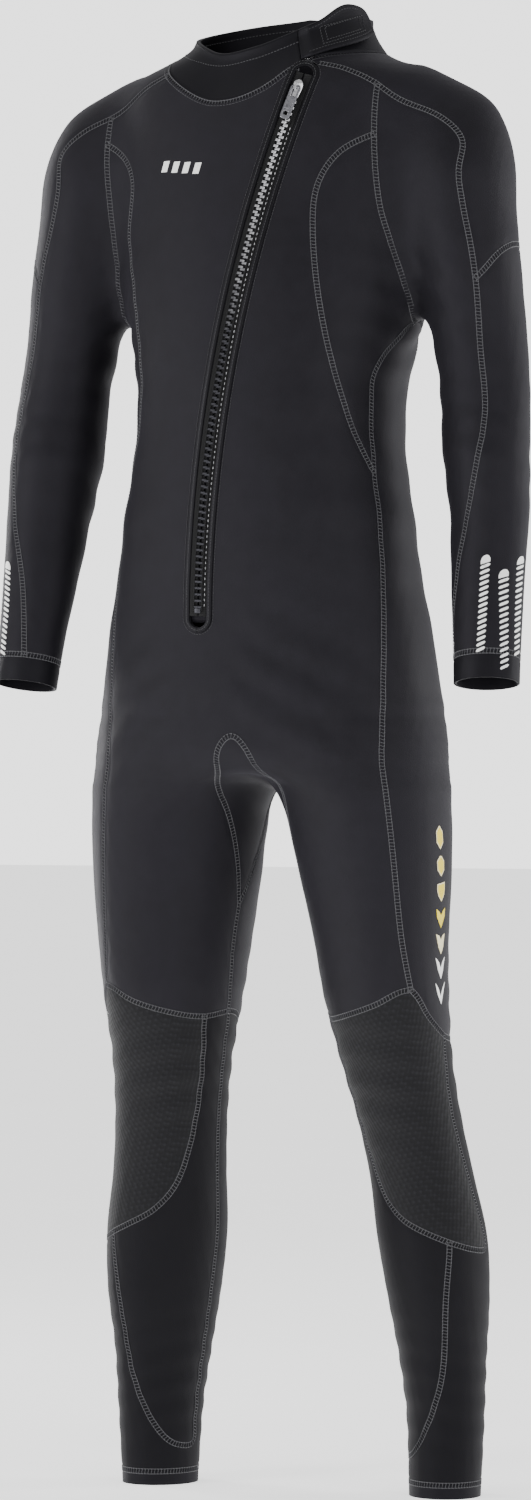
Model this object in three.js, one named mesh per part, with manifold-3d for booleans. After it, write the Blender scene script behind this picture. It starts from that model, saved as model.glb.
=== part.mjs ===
// Full wetsuit with a diagonal front zip, standing in the shape of the body that fills it.
// Millimetres, +Z up, front towards -Y, the wearer's left towards +X.
// The origin lies on the ground midway between the two ankle hems.
import * as THREE from 'three';
import Module from 'manifold-3d';
import { mergeVertices } from 'three/addons/utils/BufferGeometryUtils.js';

const wasm = await Module();
wasm.setup();

// ---------------------------------------------------------------- driving sizes
const THICKNESS = 3;            // neoprene sheet
const SEAM_GAP = 0.3;           // between two panels that are glued edge to edge
const GRID = [24, 24, 50];      // facet size across, through and up the body
const ANKLE_HEM = 14;           // height of the turned hem at each ankle
const WRIST_HEM = 26;           // height of the turned hem at each wrist
const SLEEVE_END = 812;         // height of the wrist opening's centre
const HALF_BODY = { x: 94, y: 4 };  // centre that the seams of half a body are measured round

const ZIP = {
  top: new THREE.Vector3(59.4, -57.9, 1417),
  middle: new THREE.Vector3(-4.9, -106.4, 1150),
  bottom: new THREE.Vector3(-35.2, -105.8, 868),
  slotWidth: 19,                // opening between the two front edges
  tapeGap: 0.6,                 // from a front edge to the tape beside it
  tapeThickness: 1.4,
  tapeDepth: 1.6,               // the tape's face below the neoprene's face
  toothPitch: 6.2,
  toothHeight: 1.5,
  teethWidth: 6.4,              // across both rows
  groove: 1.8,                  // left free between the rows for the slider's post
};

const ZIP_ENDS = { top: 4, bottom: 12 };   // slot left free above and below the tapes
const STOP = { length: 5, above: 2 };       // bottom stop, and its distance above the tapes' end

const COLLAR = {
  seamGap: 0.4,                 // between the neckline and the band
  centre: { x: 0, y: 38 },      // middle of the neck
  rim: { side: 90, front: 77, back: 70 },   // half sizes of the rim's oval
  start: 38,                    // angle round the neck at which the band starts, 0 is the front
  end: 391,                     // and ends, after going round the back
  flapEnd: 442,                 // where the flap's tip lies over the band's start
};

// Touch fastener: angles round the neck, and height above and below the flap's middle.
const PATCH = { thickness: 1, clearance: 0.8, start: 48, end: 75, halfHeight: 9 };
const BORDER = { gap: 0.5, thickness: 0.8, width: 5, aside: 0.3, top: 16, bottom: 6 };
const BACKING = {               // the flap behind the zip, bulging inwards behind the slot
  columns: [-13, -10.5, -7.5, 7.5, 10.5, 13], slotHalf: 8, depth: 4.8, gap: 0.5, thickness: 1,
  top: 10, bottom: 4,
};

// Rows of the body: height, then centre and half sizes. Limbs: height, centre out from the
// middle, centre back from the middle, half width, half depth, turn of the width in degrees.
const LEG = [
  [0, 155, 82, 40, 36, 60], [80, 155, 84, 46, 39, 60], [140, 152, 84, 53, 44, 60],
  [200, 149, 80, 62, 51, 60], [260, 144, 75, 65, 55, 60], [320, 137, 65, 61, 52, 60],
  [380, 129, 50, 60, 52, 60], [440, 121, 34, 64, 56, 60], [500, 115, 23, 75, 62, 60],
  [560, 111, 18, 84, 67, 60], [620, 107, 14, 90, 75, 60], [680, 102, 9, 93, 82, 60],
  [740, 94, 4, 95, 88, 60],
];
const ARM = [
  [780, 249, -56, 32, 30, 0], [860, 244, -39, 34, 32, 0], [920, 240, -26, 38, 34, 20],
  [980, 237, -13, 43, 38, 40], [1040, 231, -6, 48, 42, 45], [1100, 227, 2, 46, 42, 20],
  [1160, 219, 8, 47, 46, 0], [1220, 210, 8, 50, 52, 0], [1280, 199, 12, 54, 57, 0],
  [1330, 194, 17, 55, 59, 0], [1370, 187, 23, 49, 51, 0], [1398, 174, 28, 40, 36, 0],
  [1418, 150, 32, 20, 24, 0],
];
// Trunk: height, centre back from the middle, half width, depth to the back, depth to the
// front. A front depth of 0 is worked out so that the front carries the zip.
const TRUNK = [
  [700, 4, 150, 110, 100], [770, 3, 180, 118, 110], [800, 1, 174, 118, 109],
  [868, -3, 165, 112, 0], [920, -4, 155, 106, 0], [980, -3, 147, 101, 0],
  [1040, 1, 137, 98, 0], [1100, 7, 135, 102, 0], [1150, 13, 143, 108, 0],
  [1200, 18, 152, 112, 0], [1250, 22, 157, 114, 0], [1310, 26, 163, 106, 0],
  [1350, 30, 168, 92, 0], [1390, 34, 172, 74, 0], [1410, 36, 164, 62, 0],
  [1425, 38, 146, 56, 96], [1440, 38, 112, 54, 82], [1455, 38, 92, 54, 70],
  [1480, 38, 86, 54, 62],
];
const TRUNK_BOTTOM = 725;
const LEG_BOTTOM = -200;        // the form runs on past the hems, where the skin is cut off
const ARM_BOTTOM = 745;
const SQUARENESS = 2.3;         // of the trunk's ovals, 2 is an ellipse
const CROTCH_BLEND = 14;
const HIP_BLEND = 32;
const SHOULDER_BLEND = 44;
const SKIN_BOX = { low: [-324, -168, -50], high: [324, 204, 1512] };
// Where the end of a sleeve is looked for: between two heights, near the sleeve's middle line.
const WRIST_ZONE = { low: ARM_BOTTOM - 45, high: SLEEVE_END + 88, reach: 60 };
const LEG_TOP = 740;            // above it, seams are measured round half the body

const BLACK = '#26262b';
const DEEP_BLACK = '#1b1b1f';
const CALF_BLACK = '#1f1f23';
const METAL = '#8c8c90';
const SLIDER_METAL = '#9a9a9e';
const PULLER_METAL = '#77777c';

// ---------------------------------------------------------------- the zip's arc
// The zip's middle line is an arc of a circle, so the slider turns about the circle's axis.
function makeArc({ top, middle, bottom }) {
  const a = middle.clone().sub(top);
  const b = bottom.clone().sub(top);
  const axis = a.clone().cross(b).normalize();
  const system = new THREE.Matrix3().set(
    2 * a.x, 2 * a.y, 2 * a.z, 2 * b.x, 2 * b.y, 2 * b.z, axis.x, axis.y, axis.z);
  const right = new THREE.Vector3(
    middle.lengthSq() - top.lengthSq(), bottom.lengthSq() - top.lengthSq(), axis.dot(top));
  const centre = right.applyMatrix3(system.invert());
  const radius = centre.distanceTo(top);
  const out = top.clone().sub(centre).normalize();
  const along = axis.clone().cross(out);
  const toBottom = bottom.clone().sub(centre);
  const sweep = Math.atan2(toBottom.dot(along), toBottom.dot(out));
  const halfway = middle.clone().sub(centre).normalize();
  const facing = new THREE.Vector3(0, -1, 0);
  const tilt = Math.atan2(facing.dot(axis), facing.dot(halfway));
  return { axis, centre, radius, out, along, sweep, tilt };
}
const ARC = makeArc(ZIP);

// Place of a point on the zip: distance down from the top, to the side, and proud of the tape.
function zipPoint(down, side, proud) {
  const angle = down / ARC.radius;
  const radial = ARC.out.clone().multiplyScalar(Math.cos(angle))
    .addScaledVector(ARC.along, Math.sin(angle));
  const out = proud * Math.cos(ARC.tilt) - side * Math.sin(ARC.tilt);
  const over = proud * Math.sin(ARC.tilt) + side * Math.cos(ARC.tilt);
  return ARC.centre.clone().addScaledVector(radial, ARC.radius + out)
    .addScaledVector(ARC.axis, over);
}

// The same the other way round: [down, side, proud] of a point.
function zipCoordinates(point) {
  const from = point.clone().sub(ARC.centre);
  const over = from.dot(ARC.axis);
  const x = from.dot(ARC.out);
  const y = from.dot(ARC.along);
  const out = Math.hypot(x, y) - ARC.radius;
  return [
    Math.atan2(y, x) * ARC.radius,
    over * Math.cos(ARC.tilt) - out * Math.sin(ARC.tilt),
    over * Math.sin(ARC.tilt) + out * Math.cos(ARC.tilt),
  ];
}

function zipPointAtHeight(height) {
  let high = 0;
  let low = ARC.sweep * ARC.radius;
  for (let step = 0; step < 40; step += 1) {
    const down = (high + low) / 2;
    if (zipPoint(down, 0, 0).z > height) high = down;
    else low = down;
  }
  return zipPoint(high, 0, 0);
}

function frontDepth(height, centreY, halfWidth) {
  const point = zipPointAtHeight(Math.min(height, ZIP.top.z));
  const across = (Math.abs(point.x) / halfWidth) ** SQUARENESS;
  return (centreY - point.y) / (1 - across) ** (1 / SQUARENESS);
}
for (const row of TRUNK) {
  if (row[4] === 0) row[4] = frontDepth(row[0], row[1], row[2]);
}

// ---------------------------------------------------------------- the body's form
// Values of a table of rows at a height, on a smooth curve through the rows.
function rowAt(rows, height) {
  const last = rows.length - 1;
  const at = Math.min(Math.max(height, rows[0][0]), rows[last][0]);
  let i = 0;
  while (i < last - 1 && rows[i + 1][0] <= at) i += 1;
  const before = rows[Math.max(i - 1, 0)];
  const start = rows[i];
  const end = rows[i + 1];
  const after = rows[Math.min(i + 2, last)];
  const span = end[0] - start[0];
  const t = (at - start[0]) / span;
  return start.slice(1).map((value, k) => {
    const c = k + 1;
    const slopeIn = (end[c] - before[c]) / (end[0] - before[0]);
    const slopeOut = (after[c] - start[c]) / (after[0] - start[0]);
    return value * (2 * t ** 3 - 3 * t ** 2 + 1) + slopeIn * span * (t ** 3 - 2 * t ** 2 + t)
      + end[c] * (3 * t ** 2 - 2 * t ** 3) + slopeOut * span * (t ** 3 - t ** 2);
  });
}

// Distance outside an oval, close to true near the oval.
function ovalDistance(u, v, a, b, power) {
  const x = Math.abs(u) + 1e-6;
  const y = Math.abs(v) + 1e-6;
  const size = ((x / a) ** power + (y / b) ** power) ** (1 / power);
  const gx = size ** (1 - power) * (x / a) ** (power - 1) / a;
  const gy = size ** (1 - power) * (y / b) ** (power - 1) / b;
  return (size - 1) / Math.hypot(gx, gy);
}

function limbDistance(rows, bottom, side, x, y, z) {
  const [cx, cy, a, b, turn] = rowAt(rows, z);
  const angle = THREE.MathUtils.degToRad(turn);
  const dx = side * x - cx;
  const dy = y - cy;
  const u = dx * Math.cos(angle) - dy * Math.sin(angle);
  const v = dx * Math.sin(angle) + dy * Math.cos(angle);
  const d = ovalDistance(u, v, a, b, 2) + Math.max(z - rows[rows.length - 1][0], 0);
  return Math.max(d, bottom - z);
}

function trunkDistance(x, y, z) {
  const [cy, a, back, front] = rowAt(TRUNK, z);
  const d = ovalDistance(x, y - cy, a, y < cy ? front : back, SQUARENESS);
  return Math.max(d, TRUNK_BOTTOM - z);
}

function blend(a, b, reach) {
  const h = THREE.MathUtils.clamp(0.5 + 0.5 * (b - a) / reach, 0, 1);
  return b * (1 - h) + a * h - reach * h * (1 - h);
}

// Distance of a point outside the suit's outer face: below zero inside it.
function bodyDistance(x, y, z) {
  const leg = (side) => limbDistance(LEG, LEG_BOTTOM, side, x, y, z);
  const arm = (side) => limbDistance(ARM, ARM_BOTTOM, side, x, y, z);
  const trunk = blend(trunkDistance(x, y, z), blend(leg(1), leg(-1), CROTCH_BLEND), HIP_BLEND);
  return blend(blend(trunk, arm(1), SHOULDER_BLEND), arm(-1), SHOULDER_BLEND);
}

function slopeAt(point) {
  const e = 0.5;
  const { x, y, z } = point;
  return new THREE.Vector3(
    bodyDistance(x + e, y, z) - bodyDistance(x - e, y, z),
    bodyDistance(x, y + e, z) - bodyDistance(x, y - e, z),
    bodyDistance(x, y, z + e) - bodyDistance(x, y, z - e)).divideScalar(2 * e);
}

function settle(point) {
  for (let step = 0; step < 6; step += 1) {
    const slope = slopeAt(point);
    const distance = bodyDistance(point.x, point.y, point.z);
    point.addScaledVector(slope, -distance / Math.max(slope.lengthSq(), 0.2));
  }
  return point;
}

// ---------------------------------------------------------------- the skin as one mesh
// One point in each grid cell that the outer face crosses, joined across the cell walls.
function makeSkin() {
  const { low, high } = SKIN_BOX;
  const count = [0, 1, 2].map((k) => Math.ceil((high[k] - low[k]) / GRID[k]) + 1);
  const index = (i, j, k) => (k * count[1] + j) * count[0] + i;
  const place = (i, j, k) => [low[0] + i * GRID[0], low[1] + j * GRID[1], low[2] + k * GRID[2]];
  const field = new Float64Array(count[0] * count[1] * count[2]);
  for (let k = 0; k < count[2]; k += 1) {
    for (let j = 0; j < count[1]; j += 1) {
      for (let i = 0; i < count[0]; i += 1) field[index(i, j, k)] = bodyDistance(...place(i, j, k));
    }
  }
  const corners = [];
  for (let c = 0; c < 8; c += 1) corners.push([c & 1, (c >> 1) & 1, c >> 2]);
  const edges = [];
  for (let a = 0; a < 8; a += 1) {
    for (const step of [1, 2, 4]) if (!(a & step)) edges.push([a, a | step]);
  }
  const points = [];
  const cell = new Map();
  for (let k = 0; k < count[2] - 1; k += 1) {
    for (let j = 0; j < count[1] - 1; j += 1) {
      for (let i = 0; i < count[0] - 1; i += 1) {
        const sum = new THREE.Vector3();
        let crossed = 0;
        for (const [a, b] of edges) {
          const [pa, pb] = [corners[a], corners[b]];
          const fa = field[index(i + pa[0], j + pa[1], k + pa[2])];
          const fb = field[index(i + pb[0], j + pb[1], k + pb[2])];
          if ((fa < 0) === (fb < 0)) continue;
          const t = fa / (fa - fb);
          const from = new THREE.Vector3(...place(i + pa[0], j + pa[1], k + pa[2]));
          const to = new THREE.Vector3(...place(i + pb[0], j + pb[1], k + pb[2]));
          sum.add(from.lerp(to, t));
          crossed += 1;
        }
        if (!crossed) continue;
        cell.set(index(i, j, k), points.length);
        points.push(settle(sum.divideScalar(crossed)));
      }
    }
  }
  const triangles = [];
  const unit = [[1, 0, 0], [0, 1, 0], [0, 0, 1]];
  for (let k = 1; k < count[2] - 1; k += 1) {
    for (let j = 1; j < count[1] - 1; j += 1) {
      for (let i = 1; i < count[0] - 1; i += 1) {
        const here = field[index(i, j, k)] < 0;
        for (let axis = 0; axis < 3; axis += 1) {
          const [di, dj, dk] = unit[axis];
          if (here === (field[index(i + di, j + dj, k + dk)] < 0)) continue;
          const u = unit[(axis + 1) % 3];
          const v = unit[(axis + 2) % 3];
          const near = (a, b) => cell.get(index(
            i - a * u[0] - b * v[0], j - a * u[1] - b * v[1], k - a * u[2] - b * v[2]));
          const ring = [near(0, 0), near(1, 0), near(1, 1), near(0, 1)];
          if (!here) ring.reverse();
          const [p, q, r, s] = ring;
          const straight = points[p].distanceTo(points[r]) < points[q].distanceTo(points[s]);
          if (straight) triangles.push([p, q, r], [p, r, s]);
          else triangles.push([q, r, s], [q, s, p]);
        }
      }
    }
  }
  return {
    points,
    fixed: new Set(),
    triangles: triangles.map((corner) => ({ corner, panel: 'suit' })),
  };
}

// ---------------------------------------------------------------- seams
// A seam on a leg or on half the trunk is drawn on [angle, height]: the angle goes round the
// leg's centre, 0 at the front, 90 outwards, -90 inwards, the same on both sides.
const ROUND = 1.2;              // millimetres of skin for each degree round a leg
const SLEEVE_ROUND = 0.85;      // and round a sleeve

const KNEE_LOOP = [
  [-180, 462], [-130, 470], [-95, 484], [-49, 480], [-15, 486], [12, 496], [40, 511],
  [55, 484], [77, 464], [110, 460], [150, 461], [180, 462]];
const SIDE_FRONT = [
  [62, 1149], [38, 1126], [32, 1092], [33, 1033], [38, 936], [36, 800], [33, 704], [34, 577],
  [40, 511], [52, 430]];
const SIDE_BACK = [[128, 430], [135, 600], [142, 700], [150, 800], [153, 950], [150, 1120]];
const SIDE_TOP = [[143, 1160], [115, 1172], [85, 1167], [62, 1149]];
const GUSSET_FRONT = [[-43.5, 776], [-36, 742], [-46, 708], [-58, 684], [-72, 640], [-82, 590]];
const GUSSET_BACK = [[-82, 590], [-98, 640], [-112, 700], [-123, 750], [-137.5, 806]];
const INSEAM = [[480, -86], [545, -82], [590, -82], [700, -82]];   // [height, angle]
const KNEE_OUTER = [[40, 530], [55, 484], [77, 464], [72, 383], [80, 300], [88, 247]];
const KNEE_LOWER = [
  [88, 247], [60, 250], [36, 258], [8, 272], [-10, 284], [-32, 312], [-49, 365], [-56, 425],
  [-53, 500]];
const SHIN_OUTER = [
  [36, 258], [27, 200], [20, 130], [4, 88], [-16, 60], [-42, 42], [-86, 38]];
// Across the back the angle runs on past 180, so the middle of the back is at 223.
const WAIST_BACK = [[90, 1015], [150, 1010], [190, 995], [223, 988], [280, 988]];
const SEAT_FOLD = [[90, 718], [150, 712], [195, 690], [235, 696], [280, 720]];

// Below the armpits this line runs in the gap between the trunk and the arms.
const BESIDE_TRUNK = [[600, 240], [760, 225], [790, 202], [812, 194], [868, 188], [920, 178],
  [980, 170], [1040, 160], [1100, 154], [1150, 151]];
const ARMHOLE = {               // [height, distance out from the middle]
  left: [...BESIDE_TRUNK, [1192, 154], [1239, 145], [1286, 134], [1355, 128], [1430, 128]],
  right: [...BESIDE_TRUNK, [1192, 156], [1239, 155], [1286, 158], [1355, 163], [1430, 158]],
};
const CHEST_SEAM = {            // front edge of the chest side panel, [height, distance out]
  left: [[1000, 140], [1034, 124], [1091, 106], [1187, 86], [1266, 77], [1305, 80], [1336, 98],
    [1352, 124], [1362, 150]],
  right: [[1000, 140], [1034, 124], [1110, 112], [1200, 122], [1262, 134], [1310, 129],
    [1336, 138], [1350, 154], [1362, 176]],
};
const SLEEVE_FRONT = {          // [height, angle round the arm]
  left: [[780, -78], [850, -70], [916, -44], [1013, 1], [1070, 18], [1139, 18], [1209, 23],
    [1265, 22], [1319, 14], [1371, -19]],
  right: [[780, -28], [850, -12], [916, 8], [978, 31], [1070, 43], [1139, 38], [1209, 32],
    [1265, 25], [1319, 14], [1371, -19]],
};
const SLEEVE_BACK = [[780, -160], [860, -155], [960, -138], [1070, -125], [1280, -122]];
const SLEEVE_CROSS = [[0, 1200], [23, 1209], [57, 1237], [90, 1246], [180, 1241], [240, 1236]];
const SHOULDER_FRONT = [[40, -52], [81, -47], [125, -37], [166, -27], [215, -31]];
const SHOULDER_BACK = [[40, 62], [81, 66], [125, 66], [215, 66]];
const NECKLINE = [
  [-180, 1448], [-90, 1442], [-68, 1438], [-55, 1429], [-44, 1414], [-33, 1399], [-22, 1389],
  [-12, 1388], [0, 1393], [13, 1404], [24, 1419], [36, 1431], [60, 1438], [90, 1442], [180, 1448]];

// Value of a curve through [key, value] points that are in order of their keys.
function valueAt(points, key) {
  return rowAt(points, key)[0];
}

function polyline(points, perSpan = 6) {
  const curve = new THREE.SplineCurve(points.map(([u, v]) => new THREE.Vector2(u, v)));
  return curve.getPoints((points.length - 1) * perSpan);
}

// Signed distance from a closed outline, above zero inside. Angles are scaled to millimetres.
function insideOutline(curves, scale) {
  const outline = curves.flatMap((points) => polyline(points))
    .map((p) => new THREE.Vector2(p.x * scale, p.y));
  return (u, v) => {
    const x = u * scale;
    let nearest = Infinity;
    let inside = false;
    for (let i = 0, j = outline.length - 1; i < outline.length; j = i, i += 1) {
      const [a, b] = [outline[i], outline[j]];
      const [ex, ey] = [b.x - a.x, b.y - a.y];
      const length = ex * ex + ey * ey;
      const t = length ? THREE.MathUtils.clamp(((x - a.x) * ex + (v - a.y) * ey) / length, 0, 1) : 0;
      nearest = Math.min(nearest, Math.hypot(x - a.x - t * ex, v - a.y - t * ey));
      if ((a.y > v) !== (b.y > v) && x < a.x + ((v - a.y) / ey) * ex) inside = !inside;
    }
    return inside ? nearest : -nearest;
  };
}

function legAngle(p) {
  const [cx, cy] = p.z < LEG_TOP ? rowAt(LEG, p.z) : [HALF_BODY.x, HALF_BODY.y];
  return THREE.MathUtils.radToDeg(Math.atan2(Math.abs(p.x) - cx, cy - p.y));
}

function armAngle(p) {
  const [cx, cy] = rowAt(ARM, p.z);
  return THREE.MathUtils.radToDeg(Math.atan2(Math.abs(p.x) - cx, cy - p.y));
}

const sideOf = (p) => (p.x < 0 ? 'right' : 'left');
const neckAngle = (p) => THREE.MathUtils.radToDeg(
  Math.atan2(p.x - COLLAR.centre.x, COLLAR.centre.y - p.y));

// Direction down the left forearm, square to which the sleeve is cut off.
function sleeveAxis() {
  const elbow = 1000;
  const [x, y] = rowAt(ARM, SLEEVE_END);
  const [upX, upY] = rowAt(ARM, elbow);
  return new THREE.Vector3(x - upX, y - upY, SLEEVE_END - elbow).normalize();
}

function wristDistance(p) {
  const [x, y] = rowAt(ARM, SLEEVE_END);
  return -sleeveAxis().dot(new THREE.Vector3(Math.abs(p.x) - x, p.y - y, p.z - SLEEVE_END));
}

function nearWrist(p) {
  const [x, y] = rowAt(ARM, p.z);
  const away = Math.hypot(Math.abs(p.x) - x, p.y - y);
  return p.z > WRIST_ZONE.low && p.z < WRIST_ZONE.high && away < WRIST_ZONE.reach;
}

function innerSleeve(p) {
  const angle = armAngle(p);
  const turned = angle > 130 ? angle - 360 : angle;
  const front = valueAt(SLEEVE_FRONT[sideOf(p)], p.z) - turned;
  const back = turned - valueAt(SLEEVE_BACK, p.z);
  const round = Math.min(front, back) * SLEEVE_ROUND;
  const flat = valueAt(SHOULDER_FRONT, Math.abs(p.x)) - p.y;
  const t = THREE.MathUtils.smoothstep(p.z, 1300, 1350);
  return round * (1 - t) + flat * t;
}

function shoulderStrap(p) {
  const x = Math.abs(p.x);
  return Math.min(p.y - valueAt(SHOULDER_FRONT, x), valueAt(SHOULDER_BACK, x) - p.y, p.z - 1330);
}

function belowSleeveCross(p) {
  const angle = armAngle(p);
  return valueAt(SLEEVE_CROSS, angle < -100 ? angle + 360 : angle) - p.z;
}

function zipSlot(p) {
  const [down, side] = zipCoordinates(p);
  const half = ZIP.slotWidth / 2;
  const past = Math.max(down - (ARC.sweep * ARC.radius - half), 0);
  return half - Math.hypot(side, past);
}

const knee = insideOutline([KNEE_OUTER, KNEE_LOWER], ROUND);
const shin = insideOutline([[...KNEE_LOWER.slice(2), [-60, 560], [-87, 560]],
  [[-87, 560], [-87, 387], [-87, 38]], [...SHIN_OUTER].reverse()], ROUND);
const side = insideOutline([SIDE_FRONT, SIDE_BACK, SIDE_TOP], ROUND);
const gusset = insideOutline([GUSSET_FRONT, GUSSET_BACK], ROUND);

function angleOverBack(p) {
  const angle = legAngle(p);
  return angle < 0 ? angle + 360 : angle;
}

function backOfBody(p) {
  const angle = legAngle(p);
  return Math.max(angle - 90, valueAt(INSEAM, p.z) - angle) * ROUND;
}

function chestSide(p) {
  return Math.min(Math.abs(p.x) - valueAt(CHEST_SEAM[sideOf(p)], p.z), p.z - 1000);
}

function aboveNeckline(p) {
  return p.z - valueAt(NECKLINE, neckAngle(p));
}

// How the skin is cut, in order: the panel that is cut, the part where the value is above
// zero, that part's new name, and whether its two halves are two pieces.
const CUTS = [
  ['suit', (p) => -p.z, 'waste'],
  ['suit', (p) => (nearWrist(p) ? -wristDistance(p) : -1), 'waste'],
  ['suit', aboveNeckline, 'waste'],
  ['suit', (p) => Math.abs(p.x) - valueAt(ARMHOLE[sideOf(p)], p.z), 'sleeve'],
  ['suit', shoulderStrap, 'shoulder_panel', true],
  ['sleeve', (p) => WRIST_HEM - wristDistance(p), 'wrist_hem', true],
  ['sleeve', innerSleeve, 'sleeve_inner_panel', true],
  ['sleeve', belowSleeveCross, 'sleeve_outer_panel', true],
  ['sleeve', () => 1, 'shoulder_panel', true],
  ['suit', (p) => ANKLE_HEM - p.z, 'ankle_hem', true],
  ['suit', (p) => valueAt(KNEE_LOOP, legAngle(p)) - p.z, 'lower_leg'],
  ['lower_leg', (p) => knee(legAngle(p), p.z), 'knee_panel', true],
  ['lower_leg', (p) => shin(legAngle(p), p.z), 'shin_panel', true],
  ['lower_leg', () => 1, 'calf_panel', true],
  ['suit', (p) => side(legAngle(p), p.z), 'side_panel', true],
  ['suit', (p) => gusset(legAngle(p), p.z), 'crotch_gusset'],
  ['suit', backOfBody, 'back'],
  ['back', (p) => valueAt(WAIST_BACK, angleOverBack(p)) - p.z, 'back_of_leg'],
  ['back_of_leg', (p) => valueAt(SEAT_FOLD, angleOverBack(p)) - p.z, 'hamstring_panel', true],
  ['back_of_leg', () => 1, 'seat_panel'],
  ['back', () => 1, 'back_panel'],
  ['suit', chestSide, 'chest_side_panel', true],
  ['suit', (p) => zipCoordinates(p)[1], 'front'],
  ['suit', zipSlot, 'waste'],
  ['front', zipSlot, 'waste'],
  ['suit', () => 1, 'front_panel'],
  ['front', () => 1, 'front_panel'],
];

// ---------------------------------------------------------------- cutting the skin
const SNAP = 0.2;               // share of an edge within which a point moves onto a seam

function crossing(a, b, value) {
  let [low, high] = [0, 1];
  const positive = value(a) > 0;
  for (let step = 0; step < 24; step += 1) {
    const t = (low + high) / 2;
    if ((value(a.clone().lerp(b, t)) > 0) === positive) low = t;
    else high = t;
  }
  return low;
}

// Brings a point that is close to both onto the skin and the seam.
function seat(point, value) {
  const e = 0.2;
  for (let step = 0; step < 3; step += 1) {
    settle(point);
    const distance = value(point);
    const slope = new THREE.Vector3(...['x', 'y', 'z'].map((axis) => {
      const [up, down] = [point.clone(), point.clone()];
      up[axis] += e;
      down[axis] -= e;
      return (value(up) - value(down)) / (2 * e);
    }));
    const size = slope.lengthSq();
    if (size < 0.05 || Math.abs(distance) > 3 * Math.sqrt(size)) continue;
    point.addScaledVector(slope, -distance / size);
  }
  return point;
}

function cutSkin(skin, [panel, value, name, paired]) {
  const { points } = skin;
  const mine = skin.triangles.filter((triangle) => triangle.panel === panel);
  const level = new Map();
  for (const { corner } of mine) for (const c of corner) level.set(c, value(points[c]));
  const edges = new Map();
  for (const { corner } of mine) {
    corner.forEach((a, i) => {
      const b = corner[(i + 1) % 3];
      if ((level.get(a) > 0) !== (level.get(b) > 0)) edges.set(edgeKey(a, b), [a, b]);
    });
  }
  const nearest = new Map();
  for (const [a, b] of edges.values()) {
    const t = crossing(points[a], points[b], value);
    for (const [end, share] of [[a, t], [b, 1 - t]]) {
      if (share > SNAP || share > (nearest.get(end)?.share ?? 1)) continue;
      nearest.set(end, { share, to: points[a].clone().lerp(points[b], t) });
    }
  }
  const around = new Map();
  for (const { corner } of skin.triangles) {
    for (const c of corner) if (nearest.has(c)) around.set(c, [...(around.get(c) ?? []), corner]);
  }
  for (const [end, { to }] of nearest) {
    if (!skin.fixed.has(end)) {
      const before = points[end].clone();
      points[end].copy(seat(to, value));
      if (around.get(end).some((corner) => !facesOut(points, corner))) {
        points[end].copy(before);
        continue;
      }
      skin.fixed.add(end);
    }
    level.set(end, 0);
  }
  const middle = new Map();
  for (const [key, [a, b]] of edges) {
    if (level.get(a) === 0 || level.get(b) === 0) continue;
    const t = crossing(points[a], points[b], value);
    middle.set(key, points.length);
    level.set(points.length, 0);
    skin.fixed.add(points.length);
    points.push(seat(points[a].clone().lerp(points[b], t), value));
  }
  const result = [];
  for (const triangle of skin.triangles) {
    for (const corner of splitTriangle(triangle.corner, middle)) {
      const piece = { corner, panel: triangle.panel };
      if (piece.panel === panel) {
        const centre = centreOf(points, corner);
        const most = corner.map((c) => level.get(c)).reduce(
          (best, v) => (Math.abs(v) > Math.abs(best) ? v : best), 0);
        if ((most === 0 ? value(centre) : most) > 0) {
          piece.panel = paired ? `${name}_${sideOf(centre)}` : name;
        }
      }
      result.push(piece);
    }
  }
  skin.triangles = result;
}

function facesOut(points, corner) {
  const [a, b, c] = corner.map((i) => points[i]);
  const normal = b.clone().sub(a).cross(c.clone().sub(a)).normalize();
  return normal.dot(slopeAt(centreOf(points, corner)).normalize()) > 0.3;
}

const edgeKey = (a, b) => (a < b ? `${a} ${b}` : `${b} ${a}`);

function centreOf(points, corner) {
  const [a, b, c] = corner.map((i) => points[i]);
  return a.clone().add(b).add(c).divideScalar(3);
}

// A triangle's pieces when some of its edges have a new point in them.
function splitTriangle(corner, middle) {
  const cut = corner.map((a, i) => middle.get(edgeKey(a, corner[(i + 1) % 3])));
  const count = cut.filter((m) => m !== undefined).length;
  if (count === 0) return [corner];
  if (count === 3) {
    const [a, b, c] = corner;
    const [ab, bc, ca] = cut;
    return [[a, ab, ca], [ab, b, bc], [ca, bc, c], [ab, bc, ca]];
  }
  const first = count === 1 ? cut.findIndex((m) => m !== undefined)
    : (cut.findIndex((m) => m === undefined) + 1) % 3;
  const [a, b, c] = [0, 1, 2].map((i) => corner[(first + i) % 3]);
  const ab = cut[first];
  if (count === 1) return [[a, ab, c], [ab, b, c]];
  const bc = cut[(first + 1) % 3];
  return [[ab, b, bc], [a, ab, bc], [a, bc, c]];
}

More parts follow.
